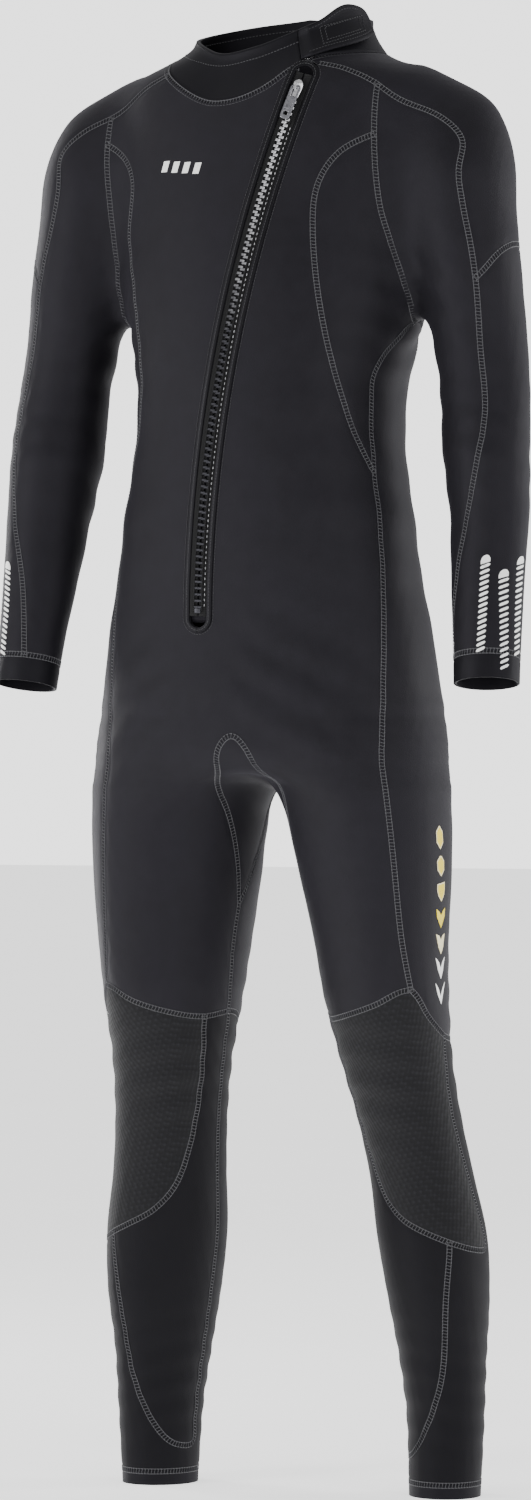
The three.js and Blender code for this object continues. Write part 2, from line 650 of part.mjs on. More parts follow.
// Gives stray crumbs of a panel to the panel they touch most.
function joinCrumbs(skin) {
  const byEdge = new Map();
  skin.triangles.forEach((triangle, i) => {
    triangle.corner.forEach((a, k) => {
      const key = edgeKey(a, triangle.corner[(k + 1) % 3]);
      byEdge.set(key, [...(byEdge.get(key) ?? []), i]);
    });
  });
  const beside = skin.triangles.map(() => []);
  for (const pair of byEdge.values()) {
    if (pair.length === 2) {
      beside[pair[0]].push(pair[1]);
      beside[pair[1]].push(pair[0]);
    }
  }
  const group = skin.triangles.map(() => -1);
  const groups = [];
  skin.triangles.forEach((triangle, i) => {
    if (group[i] >= 0) return;
    const members = [i];
    group[i] = groups.length;
    for (let k = 0; k < members.length; k += 1) {
      for (const next of beside[members[k]]) {
        if (group[next] >= 0 || skin.triangles[next].panel !== triangle.panel) continue;
        group[next] = groups.length;
        members.push(next);
      }
    }
    groups.push(members);
  });
  const largest = {};
  for (const members of groups) {
    const { panel } = skin.triangles[members[0]];
    largest[panel] = Math.max(largest[panel] ?? 0, members.length);
  }
  for (const members of groups) {
    const { panel } = skin.triangles[members[0]];
    if (panel === 'waste' || members.length === largest[panel]) continue;
    const votes = {};
    for (const i of members) {
      for (const next of beside[i]) {
        const other = skin.triangles[next].panel;
        if (other !== panel && other !== 'waste') votes[other] = (votes[other] ?? 0) + 1;
      }
    }
    const [winner] = Object.entries(votes).sort((a, b) => b[1] - a[1])[0] ?? ['waste'];
    for (const i of members) skin.triangles[i].panel = winner;
  }
}

// ---------------------------------------------------------------- solids
function meshFrom(name, vertices, faces, colour, roughness, metalness) {
  const geometry = new THREE.BufferGeometry();
  geometry.setAttribute('position',
    new THREE.Float32BufferAttribute(vertices.flatMap((v) => v.toArray()), 3));
  geometry.setIndex(faces.flat());
  geometry.computeVertexNormals();
  const material = new THREE.MeshStandardMaterial({ color: colour, roughness, metalness });
  const mesh = new THREE.Mesh(geometry, material);
  mesh.name = name;
  return mesh;
}

function volumeOf(vertices, faces) {
  return faces.reduce((sum, [a, b, c]) => sum
    + vertices[a].dot(vertices[b].clone().cross(vertices[c])) / 6, 0);
}

// A slab between two grids of points, closed by walls round its edge.
function slab(name, rows, columns, outer, inner, colour, roughness = 0.8, metalness = 0) {
  const vertices = [];
  for (const layer of [outer, inner]) {
    for (let i = 0; i <= rows; i += 1) {
      for (let j = 0; j <= columns; j += 1) vertices.push(layer(i / rows, j / columns));
    }
  }
  const at = (layer, i, j) => (layer * (rows + 1) + i) * (columns + 1) + j;
  const faces = [];
  const quad = (a, b, c, d) => faces.push([a, b, c], [a, c, d]);
  for (let i = 0; i < rows; i += 1) {
    for (let j = 0; j < columns; j += 1) {
      quad(at(0, i, j), at(0, i + 1, j), at(0, i + 1, j + 1), at(0, i, j + 1));
      quad(at(1, i, j), at(1, i, j + 1), at(1, i + 1, j + 1), at(1, i + 1, j));
    }
  }
  for (let i = 0; i < rows; i += 1) {
    quad(at(0, i + 1, 0), at(0, i, 0), at(1, i, 0), at(1, i + 1, 0));
    quad(at(0, i, columns), at(0, i + 1, columns), at(1, i + 1, columns), at(1, i, columns));
  }
  for (let j = 0; j < columns; j += 1) {
    quad(at(0, 0, j), at(0, 0, j + 1), at(1, 0, j + 1), at(1, 0, j));
    quad(at(0, rows, j + 1), at(0, rows, j), at(1, rows, j), at(1, rows, j + 1));
  }
  if (volumeOf(vertices, faces) < 0) faces.forEach((face) => face.reverse());
  return meshFrom(name, vertices, faces, colour, roughness, metalness);
}

// Direction from the outer to the inner face at a point, level along a hem's cut edge.
function inwardAt(point) {
  const inward = slopeAt(point).normalize().negate();
  if (Math.abs(point.z) < 1e-3) inward.setZ(0).normalize();
  if (isWristEdge(point)) {
    const axis = sleeveAxis();
    axis.x *= Math.sign(point.x);
    inward.addScaledVector(axis, -inward.dot(axis)).normalize();
  }
  return inward;
}

function isWristEdge(point) {
  return nearWrist(point) && Math.abs(wristDistance(point)) < 0.02;
}

// A panel of the skin given its thickness, drawn in by half the seam gap along its edges.
function panelSolid(skin, name, colour, roughness) {
  const faces = skin.triangles.filter((t) => t.panel === name).map((t) => t.corner);
  const edge = new Map();
  for (const face of faces) {
    face.forEach((a, i) => {
      const b = face[(i + 1) % 3];
      if (!edge.delete(`${b} ${a}`)) edge.set(`${a} ${b}`, [a, b, face]);
    });
  }
  const shift = new Map();
  for (const [a, b, face] of edge.values()) {
    const [p, q, r] = face.map((i) => skin.points[i]);
    const normal = q.clone().sub(p).cross(r.clone().sub(p)).normalize();
    const along = skin.points[b].clone().sub(skin.points[a]);
    const inwards = normal.cross(along).normalize();
    for (const end of [a, b]) shift.set(end, [...(shift.get(end) ?? []), inwards]);
  }
  const number = new Map();
  const outer = [];
  const inner = [];
  for (const i of new Set(faces.flat())) {
    number.set(i, outer.length);
    const point = skin.points[i].clone();
    const ways = shift.get(i) ?? [];
    if (ways.length) {
      const sum = ways.reduce((total, way) => total.add(way), new THREE.Vector3());
      const reach = Math.max(sum.length() * sum.length() / ways.length, 0.6);
      if (!isHem(skin.points[i])) point.addScaledVector(sum, SEAM_GAP / 2 / reach);
    }
    outer.push(point);
    inner.push(point.clone().addScaledVector(inwardAt(skin.points[i]), THICKNESS));
  }
  const vertices = [...outer, ...inner];
  const depth = outer.length;
  const solid = faces.flatMap((face) => {
    const [a, b, c] = face.map((i) => number.get(i));
    return [[a, b, c], [a + depth, c + depth, b + depth]];
  });
  for (const [from, to] of edge.values()) {
    const [a, b] = [number.get(from), number.get(to)];
    // Both panels at a seam fold their walls along the same diagonal.
    if (from < to) solid.push([b, a, b + depth], [a, a + depth, b + depth]);
    else solid.push([b, a, a + depth], [b, a + depth, b + depth]);
  }
  return meshFrom(name, vertices, solid, colour, roughness, 0);
}

function isHem(point) {
  return Math.abs(point.z) < 1e-3 || isWristEdge(point);
}

// Closes edges too short to be worth a facet.
function weldShortEdges(skin, shortest) {
  for (const { corner } of skin.triangles) {
    for (let i = 0; i < 3; i += 1) {
      const [a, b] = [corner[i], corner[(i + 1) % 3]];
      if (a === b || skin.points[a].distanceTo(skin.points[b]) > shortest) continue;
      for (const other of skin.triangles) other.corner = other.corner.map((c) => (c === b ? a : c));
    }
  }
  skin.triangles = skin.triangles.filter(({ corner: [a, b, c] }) => a !== b && b !== c && c !== a);
}

// ---------------------------------------------------------------- the collar
const RIM = [                   // [angle round the neck, height of the rim]
  [-180, 1489], [-135, 1482], [-90, 1467], [-60, 1455], [-30, 1442], [0, 1447], [20, 1456],
  [45, 1470], [70, 1476], [110, 1480], [180, 1489]];
const FLAP_TOP = [              // the same for the flap's upper and lower edges
  [31, 1462], [45, 1472], [58, 1486], [66, 1489], [76, 1485], [84, 1472]];
const FLAP_BOTTOM = [[31, 1431], [45, 1440], [60, 1448], [72, 1455], [84, 1464]];

const turnBack = (angle) => (angle > 180 ? angle - 360 : angle);

function aroundNeck(angle, radius, height) {
  const t = THREE.MathUtils.degToRad(angle);
  return new THREE.Vector3(COLLAR.centre.x + radius * Math.sin(t),
    COLLAR.centre.y - radius * Math.cos(t), height);
}

const neckRadius = (p) => Math.hypot(p.x - COLLAR.centre.x, p.y - COLLAR.centre.y);

// The neckline's points in order round the neck, as the panels' edges have them.
function necklineOf(skin) {
  const used = new Set(skin.triangles.filter((t) => t.panel !== 'waste').flatMap((t) => t.corner));
  return [...used].map((i) => skin.points[i])
    .filter((p) => p.z > 1380 && Math.abs(aboveNeckline(p)) < 0.05)
    .map((p) => ({ angle: neckAngle(p), point: p })).sort((a, b) => a.angle - b.angle);
}

function pointOnNeckline(neckline, angle) {
  const at = turnBack(angle);
  let i = neckline.findIndex((entry) => entry.angle > at);
  if (i < 0) i = 0;
  const after = neckline[i];
  const before = neckline[(i + neckline.length - 1) % neckline.length];
  const span = (after.angle - before.angle + 360) % 360;
  return before.point.clone().lerp(after.point, ((at - before.angle + 360) % 360) / span);
}

function rimRadius(angle) {
  const t = THREE.MathUtils.degToRad(angle);
  const depth = Math.cos(t) > 0 ? COLLAR.rim.front : COLLAR.rim.back;
  return 1 / Math.hypot(Math.sin(t) / COLLAR.rim.side, Math.cos(t) / depth);
}

// Radius of the collar's outer face at a height: it flares out towards the neckline.
function collarRadius(neckline, angle, height) {
  const base = pointOnNeckline(neckline, angle);
  const top = valueAt(RIM, turnBack(angle));
  const rise = THREE.MathUtils.clamp((height - base.z) / (top - base.z), 0, 1);
  const rim = rimRadius(angle);
  return rim + (neckRadius(base) - rim) * (1 - rise) ** 1.6;
}

function collarBand(neckline) {
  const angles = neckline.map(({ angle }) => (angle < COLLAR.start + 2 ? angle + 360 : angle))
    .filter((angle) => angle > COLLAR.start + 2 && angle < COLLAR.end - 2).sort((a, b) => a - b);
  angles.unshift(COLLAR.start);
  angles.push(COLLAR.end);
  const place = (i, j, depth) => {
    const angle = angles[Math.round(i * (angles.length - 1))];
    const base = pointOnNeckline(neckline, angle);
    const bottom = base.z + COLLAR.seamGap;
    const height = bottom + (valueAt(RIM, turnBack(angle)) - bottom) * j;
    const radius = j === 0 ? neckRadius(base) : collarRadius(neckline, angle, height);
    return aroundNeck(angle, radius - depth, height);
  };
  return slab('collar_band', angles.length - 1, 4, (i, j) => place(i, j, 0),
    (i, j) => place(i, j, THICKNESS), DEEP_BLACK, 0.75);
}

// Standoff of the flap's inner face from the band's outer face.
const FLAP_STANDOFF = 2 * PATCH.thickness + 3 * PATCH.clearance;
function flapInner(neckline, angle, height) {
  const root = COLLAR.end - 360 + 0.5;
  const over = THREE.MathUtils.smoothstep(angle, root, COLLAR.start);
  return collarRadius(neckline, angle, height) - THICKNESS + (THICKNESS + FLAP_STANDOFF) * over;
}

function collarFlap(neckline) {
  const place = (i, j, depth) => {
    const start = COLLAR.end - 360 + 0.5;
    const angle = start + (COLLAR.flapEnd - 360 - start) * i;
    const [low, high] = [valueAt(FLAP_BOTTOM, angle), valueAt(FLAP_TOP, angle)];
    const height = low + (high - low) * j;
    return aroundNeck(angle, flapInner(neckline, angle, height) + depth, height);
  };
  return slab('collar_flap', 14, 3, (i, j) => place(i, j, THICKNESS), (i, j) => place(i, j, 0),
    DEEP_BLACK, 0.75);
}

// The two halves of the touch fastener, between the band and the flap.
function patch(neckline, name, standoff, colour) {
  const place = (i, j, depth) => {
    const angle = PATCH.start + (PATCH.end - PATCH.start) * i;
    const middle = (valueAt(FLAP_BOTTOM, angle) + Math.min(
      valueAt(FLAP_TOP, angle), valueAt(RIM, angle))) / 2;
    const height = middle + PATCH.halfHeight * (2 * j - 1);
    return aroundNeck(angle, collarRadius(neckline, angle, height) + standoff + depth, height);
  };
  return slab(name, 4, 2, (i, j) => place(i, j, PATCH.thickness), (i, j) => place(i, j, 0),
    colour, 0.95);
}

// ---------------------------------------------------------------- the zip
const ZIP_LENGTH = ARC.sweep * ARC.radius;
// Side of the zip's own axes that lies towards the wearer's left.
const ZIP_LEFT = Math.sign(zipPoint(100, 10, 0).x - zipPoint(100, 0, 0).x);

// Height of the skin over the zip's own surface.
function skinOver(down, side) {
  let [low, high] = [-12, 12];
  for (let step = 0; step < 20; step += 1) {
    const middle = (low + high) / 2;
    const p = zipPoint(down, side, middle);
    if (bodyDistance(p.x, p.y, p.z) > 0) high = middle;
    else low = middle;
  }
  return low;
}

// A strip along the zip between two sides and two heights.
function zipStrip(name, from, to, sides, heights, steps, colour, roughness, metalness) {
  const layer = (top) => (i, j) => {
    const down = from + (to - from) * i;
    const side = sides[0] + (sides[1] - sides[0]) * j;
    return zipPoint(down, side, heights(down, side)[top]);
  };
  return slab(name, steps, 1, layer(1), layer(0), colour, roughness, metalness);
}

function zipTape(name, side) {
  const edge = ZIP.slotWidth / 2 - ZIP.tapeGap;
  const inner = ZIP.groove / 2;
  const top = -ZIP.tapeDepth + ZIP.tapeThickness;
  return zipStrip(name, ZIP_ENDS.top, ZIP_LENGTH - ZIP_ENDS.bottom, [side * inner, side * edge],
    () => [top - ZIP.tapeThickness, top], 22, DEEP_BLACK, 0.9, 0);
}

// A row of teeth joined by its cord, as one comb bent along the zip.
function zipTeeth(name, side, shift) {
  const from = ZIP_ENDS.top + 1;
  const pitch = ZIP.toothPitch * 2;
  const count = Math.floor((ZIP_LENGTH - ZIP_ENDS.bottom - 8 - from) / pitch);
  const [root, tip] = [side * ZIP.teethWidth / 2, side * ZIP.groove / 2];
  const spine = root - side * 0.9;
  const [bottom, top] = [TEETH_BOTTOM, TEETH_TOP];
  const outline = [];
  for (let i = 0; i < count; i += 1) {
    const start = from + i * pitch + shift;
    outline.push([start, spine], [start, tip], [start + pitch * 0.45, tip],
      [start + pitch * 0.45, spine]);
  }
  const vertices = [];
  for (const height of [top, bottom]) {
    for (const [down, across] of outline) vertices.push(zipPoint(down, across, height));
    for (const [down] of outline) vertices.push(zipPoint(down, root, height));
  }
  const n = outline.length;
  const faces = [];
  const quad = (a, b, c, d) => faces.push([a, b, c], [a, c, d]);
  for (let i = 0; i < n - 1; i += 1) {
    const tooth = i % 4 === 1;
    if (i % 4 === 0 || i % 4 === 2) continue;
    if (tooth) quad(i - 1, i, i + 1, i + 2);
    if (tooth) quad(2 * n + i - 1, 2 * n + i + 2, 2 * n + i + 1, 2 * n + i);
  }
  const spinePoints = outline.map((_, i) => i).filter((i) => i % 4 === 0 || i % 4 === 3);
  for (let k = 0; k < spinePoints.length - 1; k += 1) {
    const [i, j] = [spinePoints[k], spinePoints[k + 1]];
    quad(i, j, n + j, n + i);
    quad(2 * n + i, 3 * n + i, 3 * n + j, 2 * n + j);
    quad(n + i, n + j, 3 * n + j, 3 * n + i);
  }
  for (let i = 0; i < n - 1; i += 1) quad(i + 1, i, 2 * n + i, 2 * n + i + 1);
  quad(0, n, 3 * n, 2 * n);
  quad(2 * n - 1, n - 1, 3 * n - 1, 4 * n - 1);
  if (volumeOf(vertices, faces) < 0) faces.forEach((face) => face.reverse());
  const used = [...new Set(faces.flat())];
  const number = new Map(used.map((v, i) => [v, i]));
  return meshFrom(name, used.map((v) => vertices[v]), faces.map((f) => f.map((v) => number.get(v))),
    METAL, 0.35, 1);
}

// Raised border beside the slot, on the face of the front panel.
function zipBorder(name, side) {
  const edge = ZIP.slotWidth / 2 + BORDER.aside;
  const heights = (down, across) => {
    const under = skinOver(down, across) + BORDER.gap;
    return [under, under + BORDER.thickness];
  };
  return zipStrip(name, BORDER.top, ZIP_LENGTH - BORDER.bottom,
    [side * edge, side * (edge + BORDER.width)], heights, 30, DEEP_BLACK, 0.7, 0);
}

// The flap behind the zip that keeps water and cold metal off the skin.
function zipBackingFlap() {
  const { columns, slotHalf, depth, gap, thickness, top, bottom } = BACKING;
  const last = columns.length - 1;
  const place = (i, j, behind) => {
    const down = top + (ZIP_LENGTH - bottom - top) * i;
    const across = columns[Math.round(j * last)];
    const beside = Math.abs(across) > slotHalf;
    const under = beside ? skinOver(down, across) - THICKNESS - gap : -depth;
    return zipPoint(down, across, under - behind);
  };
  return slab('zip_backing_flap', 24, last, (i, j) => place(i, j, 0),
    (i, j) => place(i, j, thickness), BLACK, 0.85);
}

function zipBottomStop() {
  const end = ZIP_LENGTH - ZIP_ENDS.bottom - STOP.above;
  const side = ZIP.teethWidth / 2;
  return zipStrip('zip_bottom_stop', end - STOP.length, end, [-side, side],
    () => [TEETH_BOTTOM, TEETH_TOP], 1, METAL, 0.35, 1);
}

// ---------------------------------------------------------------- the slider and its puller
// Drawn with x down the zip, y to the side and z proud of the zip's surface.
const SLIDER = {
  top: 10,                      // distance down the zip of its upper end
  length: 19,
  halfWidth: 5.6,
  tailHalfWidth: 4.6,
  plate: 2.2,
  clearance: 0.4,               // between its plates and what it runs over
  post: { from: 3, length: 4, width: 1.0 },
  wing: { thickness: 1.2, halfWidth: 5 },
  flange: 1.0,
  arch: { from: 4, length: 8, width: 2, leg: 1.5, rise: 3.4, bar: 1.5 },
};
const PULLER = {
  bar: 1.6, length: 36, halfWidth: 5.2, rail: 2, window: 10.5, plate: 14, hole: 5,
};
const TAPE_TOP = -ZIP.tapeDepth + ZIP.tapeThickness;
const TEETH_BOTTOM = 0.1;
const TEETH_TOP = TEETH_BOTTOM + ZIP.toothHeight;
const PLATE_BOTTOM = TEETH_TOP + SLIDER.clearance;
const PLATE_TOP = PLATE_BOTTOM + SLIDER.plate;
const PIVOT = [SLIDER.arch.from + SLIDER.arch.length / 2, PLATE_TOP + SLIDER.arch.rise / 2];

function solidOf(geometry) {
  const plain = geometry.clone();
  plain.deleteAttribute('normal');
  plain.deleteAttribute('uv');
  const merged = mergeVertices(plain, 1e-4);
  return new wasm.Manifold(new wasm.Mesh({
    numProp: 3,
    vertProperties: new Float32Array(merged.attributes.position.array),
    triVerts: new Uint32Array(merged.index.array),
  }));
}

function box(x, y, z) {
  const geometry = new THREE.BoxGeometry(x[1] - x[0], y[1] - y[0], z[1] - z[0]);
  geometry.translate((x[0] + x[1]) / 2, (y[0] + y[1]) / 2, (z[0] + z[1]) / 2);
  return solidOf(geometry);
}

// An outline in x and y raised from one height to another.
function plate(shape, z) {
  const geometry = new THREE.ExtrudeGeometry(shape,
    { depth: z[1] - z[0], bevelEnabled: false, curveSegments: 6 });
  geometry.translate(0, 0, z[0]);
  return solidOf(geometry);
}

// Puts a solid drawn in the slider's axes in its place at the top of the zip.
function onZip(name, solid, colour, roughness, metalness) {
  const origin = zipPoint(SLIDER.top, 0, 0);
  const x = zipPoint(SLIDER.top + 1, 0, 0).sub(origin).normalize();
  const z = zipPoint(SLIDER.top, 0, 1).sub(origin).normalize();
  const y = z.clone().cross(x).normalize();
  const place = new THREE.Matrix4().makeBasis(x, y, z).setPosition(origin);
  const { vertProperties, triVerts, numProp } = solid.getMesh();
  const vertices = [];
  for (let i = 0; i < vertProperties.length; i += numProp) {
    vertices.push(new THREE.Vector3(...vertProperties.slice(i, i + 3)).applyMatrix4(place));
  }
  const faces = [];
  for (let i = 0; i < triVerts.length; i += 3) faces.push([...triVerts.slice(i, i + 3)]);
  return meshFrom(name, vertices, faces, colour, roughness, metalness);
}

function zipSlider() {
  const { length, halfWidth, tailHalfWidth, flange, wing, post, arch } = SLIDER;
  const outline = new THREE.Shape();
  outline.absarc(halfWidth, 0, halfWidth, Math.PI / 2, Math.PI * 1.5, false);
  outline.lineTo(length, -tailHalfWidth);
  outline.lineTo(length, tailHalfWidth);
  outline.closePath();
  let solid = plate(outline, [PLATE_BOTTOM, PLATE_TOP]);
  for (const side of [-1, 1]) {
    const y = [side * (tailHalfWidth - flange), side * tailHalfWidth].sort((a, b) => a - b);
    solid = solid.add(box([halfWidth, length], y, [TAPE_TOP + SLIDER.clearance, PLATE_BOTTOM + 0.1]));
  }
  const wingTop = TAPE_TOP - ZIP.tapeThickness - SLIDER.clearance;
  const postX = [post.from, post.from + post.length];
  solid = solid.add(box(postX, [-post.width / 2, post.width / 2], [wingTop - 0.1, PLATE_TOP - 0.5]));
  solid = solid.add(box([1.5, length], [-wing.halfWidth, wing.halfWidth],
    [wingTop - wing.thickness, wingTop]));
  const archTop = PLATE_TOP + arch.rise + arch.bar;
  const archY = [-arch.width / 2, arch.width / 2];
  const archX = [arch.from, arch.from + arch.length];
  solid = solid.add(box(archX, archY, [PLATE_TOP - 0.5, archTop]));
  const under = [archX[0] + arch.leg, archX[1] - arch.leg];
  solid = solid.subtract(box(under, [-4, 4], [PLATE_TOP, PLATE_TOP + arch.rise]));
  return onZip('zip_slider', solid, SLIDER_METAL, 0.3, 1);
}

function zipPuller() {
  const { bar, length, halfWidth, rail, window, plate: middle, hole } = PULLER;
  const [x, z] = PIVOT;
  const start = x - bar / 2;
  const end = start + length;
  const outline = new THREE.Shape();
  outline.moveTo(start, -halfWidth);
  outline.lineTo(end - halfWidth, -halfWidth);
  outline.absarc(end - halfWidth, 0, halfWidth, -Math.PI / 2, Math.PI / 2, false);
  outline.lineTo(start, halfWidth);
  outline.closePath();
  const inside = halfWidth - rail;
  const opening = new THREE.Path();
  opening.moveTo(start + bar, -inside);
  opening.lineTo(start + bar, inside);
  opening.lineTo(start + bar + window, inside);
  opening.lineTo(start + bar + window, -inside);
  opening.closePath();
  const eye = new THREE.Path();
  eye.absellipse(start + bar + window + middle + hole / 2, 0, hole / 2, inside * 0.8, 0,
    Math.PI * 2, true);
  outline.holes.push(opening, eye);
  const solid = plate(outline, [z - bar / 2, z + bar / 2]);
  return onZip('zip_puller', solid, PULLER_METAL, 0.35, 1);
}

// ---------------------------------------------------------------- the whole suit
const COLOURS = { knee: DEEP_BLACK, hem: DEEP_BLACK, calf: CALF_BLACK };

function colourOf(name) {
  const key = Object.keys(COLOURS).find((part) => name.includes(part));
  return key ? COLOURS[key] : BLACK;
}

function buildSuit() {
  const suit = new THREE.Group();
  suit.name = 'full_wetsuit';
  const skin = makeSkin();
  for (const cut of CUTS) cutSkin(skin, cut);
  joinCrumbs(skin);
  weldShortEdges(skin, 1);
  const names = [...new Set(skin.triangles.map((t) => t.panel))].filter((n) => n !== 'waste');
  for (const name of names) suit.add(panelSolid(skin, name, colourOf(name), 0.85));
  const neckline = necklineOf(skin);
  suit.add(collarBand(neckline), collarFlap(neckline));
  suit.add(patch(neckline, 'loop_patch', PATCH.clearance, BLACK));
  suit.add(patch(neckline, 'hook_patch', PATCH.thickness + 2 * PATCH.clearance, DEEP_BLACK));
  for (const [name, side] of [['left', 1], ['right', -1]]) {
    suit.add(zipTape(`zip_tape_${name}`, side * ZIP_LEFT));
    suit.add(zipTeeth(`zip_teeth_${name}`, side * ZIP_LEFT, side > 0 ? 0 : ZIP.toothPitch));
    suit.add(zipBorder(`zip_border_${name}`, side * ZIP_LEFT));
  }
  suit.add(zipBackingFlap());
  suit.add(zipBottomStop());
  suit.add(zipSlider(), zipPuller());
  return suit;
}

export default buildSuit();
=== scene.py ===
"""The looks of a full wetsuit with a diagonal front zip, built round the fixed frame.

Shapes are worked out in millimetres, +Z up, front towards -Y, wearer's left towards +X,
and every mesh is written in metres in the same frame.
"""

import math

import bmesh
import bpy
import numpy as np
from mathutils.kdtree import KDTree
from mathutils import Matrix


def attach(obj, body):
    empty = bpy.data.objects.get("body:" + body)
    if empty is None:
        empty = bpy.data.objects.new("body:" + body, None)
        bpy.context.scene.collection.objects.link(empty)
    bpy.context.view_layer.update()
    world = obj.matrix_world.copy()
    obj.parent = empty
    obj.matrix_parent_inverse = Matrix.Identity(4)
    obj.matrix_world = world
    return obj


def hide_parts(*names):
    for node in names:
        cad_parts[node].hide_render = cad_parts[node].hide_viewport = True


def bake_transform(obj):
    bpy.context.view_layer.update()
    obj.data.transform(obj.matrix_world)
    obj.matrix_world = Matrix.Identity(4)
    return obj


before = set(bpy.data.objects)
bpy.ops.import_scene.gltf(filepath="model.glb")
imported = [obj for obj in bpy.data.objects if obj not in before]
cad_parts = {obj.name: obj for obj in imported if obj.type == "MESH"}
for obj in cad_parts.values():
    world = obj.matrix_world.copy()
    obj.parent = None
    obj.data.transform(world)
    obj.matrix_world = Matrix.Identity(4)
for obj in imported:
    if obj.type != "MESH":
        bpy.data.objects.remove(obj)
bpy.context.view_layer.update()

MM = 0.001
STEP = 6.0                      # spacing of the skin's grid
THICKNESS = 3.0                 # neoprene sheet
SUIT = "suit"

# ------------------------------------------------------------------ the body's form
# Limbs: height, centre out, centre back, half width, half depth, turn in degrees.
LEG = np.array([
    [0, 155, 82, 40, 36, 60], [80, 155, 84, 46, 39, 60], [140, 152, 84, 53, 44, 60],
    [200, 149, 80, 62, 51, 60], [260, 144, 75, 65, 55, 60], [320, 137, 65, 61, 52, 60],
    [380, 129, 50, 60, 52, 60], [440, 121, 34, 64, 56, 60], [500, 115, 23, 75, 62, 60],
    [560, 111, 18, 84, 67, 60], [620, 107, 14, 90, 75, 60], [680, 102, 9, 93, 82, 60],
    [740, 94, 4, 95, 88, 60]], float)
ARM = np.array([
    [780, 249, -56, 32, 30, 0], [860, 244, -39, 34, 32, 0], [920, 240, -26, 38, 34, 20],
    [980, 237, -13, 43, 38, 40], [1040, 231, -6, 48, 42, 45], [1100, 227, 2, 46, 42, 20],
    [1160, 219, 8, 47, 46, 0], [1220, 210, 8, 50, 52, 0], [1280, 199, 12, 54, 57, 0],
    [1330, 194, 17, 55, 59, 0], [1370, 187, 23, 49, 51, 0], [1398, 174, 28, 40, 36, 0],
    [1418, 150, 32, 20, 24, 0]], float)
# Trunk: height, centre back, half width, depth to the back, depth to the front (0: follows the zip).
TRUNK = np.array([
    [700, 4, 150, 110, 100], [770, 3, 180, 118, 110], [800, 1, 174, 118, 109],
    [868, -3, 165, 112, 0], [920, -4, 155, 106, 0], [980, -3, 147, 101, 0],
    [1040, 1, 137, 98, 0], [1100, 7, 135, 102, 0], [1150, 13, 143, 108, 0],
    [1200, 18, 152, 112, 0], [1250, 22, 157, 114, 0], [1310, 26, 163, 106, 0],
    [1350, 30, 168, 92, 0], [1390, 34, 172, 74, 0], [1410, 36, 164, 62, 0],
    [1425, 38, 146, 56, 96], [1440, 38, 112, 54, 82], [1455, 38, 92, 54, 70],
    [1480, 38, 86, 54, 62]], float)
TRUNK_BOTTOM, LEG_BOTTOM, ARM_BOTTOM = 725, -200, 745
SQUARENESS = 2.3
CROTCH_BLEND, HIP_BLEND, SHOULDER_BLEND = 14, 32, 44
SLEEVE_END = 812
ANKLE_HEM, WRIST_HEM = 14, 26    # heights of the turned hems
TOP_SLOPE = 2.2                 # how fast a limb dwindles into the trunk above its last row

ZIP_TOP = np.array([59.4, -57.9, 1417])
ZIP_MIDDLE = np.array([-4.9, -106.4, 1150])
ZIP_BOTTOM = np.array([-35.2, -105.8, 868])
SLOT_HALF = 9.5


def unit(v):
    return v / np.linalg.norm(v, axis=-1, keepdims=True)


def make_arc():
    """The circle that the zip's middle line lies on."""
    a, b = ZIP_MIDDLE - ZIP_TOP, ZIP_BOTTOM - ZIP_TOP
    axis = unit(np.cross(a, b))
    rows = np.array([2 * a, 2 * b, axis])
    right = np.array([ZIP_MIDDLE @ ZIP_MIDDLE - ZIP_TOP @ ZIP_TOP,
                      ZIP_BOTTOM @ ZIP_BOTTOM - ZIP_TOP @ ZIP_TOP, axis @ ZIP_TOP])
    centre = np.linalg.solve(rows, right)
    radius = np.linalg.norm(ZIP_TOP - centre)
    out = unit(ZIP_TOP - centre)
    along = np.cross(axis, out)
    low = ZIP_BOTTOM - centre
    sweep = math.atan2(low @ along, low @ out)
    halfway = unit(ZIP_MIDDLE - centre)
    tilt = math.atan2(-axis[1], -halfway[1])
    return dict(axis=axis, centre=centre, radius=radius, out=out, along=along, sweep=sweep, tilt=tilt)


ARC = make_arc()
ZIP_LENGTH = ARC["sweep"] * ARC["radius"]


def zip_point(down, side, proud):
    """A point by its distance down the zip, to its side, and proud of its own surface."""
    down, side, proud = np.broadcast_arrays(*(np.asarray(v, float) for v in (down, side, proud)))
    angle = (down / ARC["radius"])[..., None]
    radial = ARC["out"] * np.cos(angle) + ARC["along"] * np.sin(angle)
    c, s = math.cos(ARC["tilt"]), math.sin(ARC["tilt"])
    out = (proud * c - side * s)[..., None]
    over = (proud * s + side * c)[..., None]
    return ARC["centre"] + radial * (ARC["radius"] + out) + ARC["axis"] * over


def zip_coordinates(p):
    start = p - ARC["centre"]
    over, x, y = start @ ARC["axis"], start @ ARC["out"], start @ ARC["along"]
    out = np.hypot(x, y) - ARC["radius"]
    c, s = math.cos(ARC["tilt"]), math.sin(ARC["tilt"])
    return np.arctan2(y, x) * ARC["radius"], over * c - out * s, over * s + out * c


def fill_front_depths():
    down = np.linspace(0, ZIP_LENGTH, 2000)
    line = zip_point(down, 0, 0)
    for row in TRUNK:
        if row[4] == 0:
            x, y = (np.interp(-row[0], -line[:, 2], line[:, k]) for k in (0, 1))
            across = (abs(x) / row[2]) ** SQUARENESS
            row[4] = (row[1] - y) / (1 - across) ** (1 / SQUARENESS)


fill_front_depths()


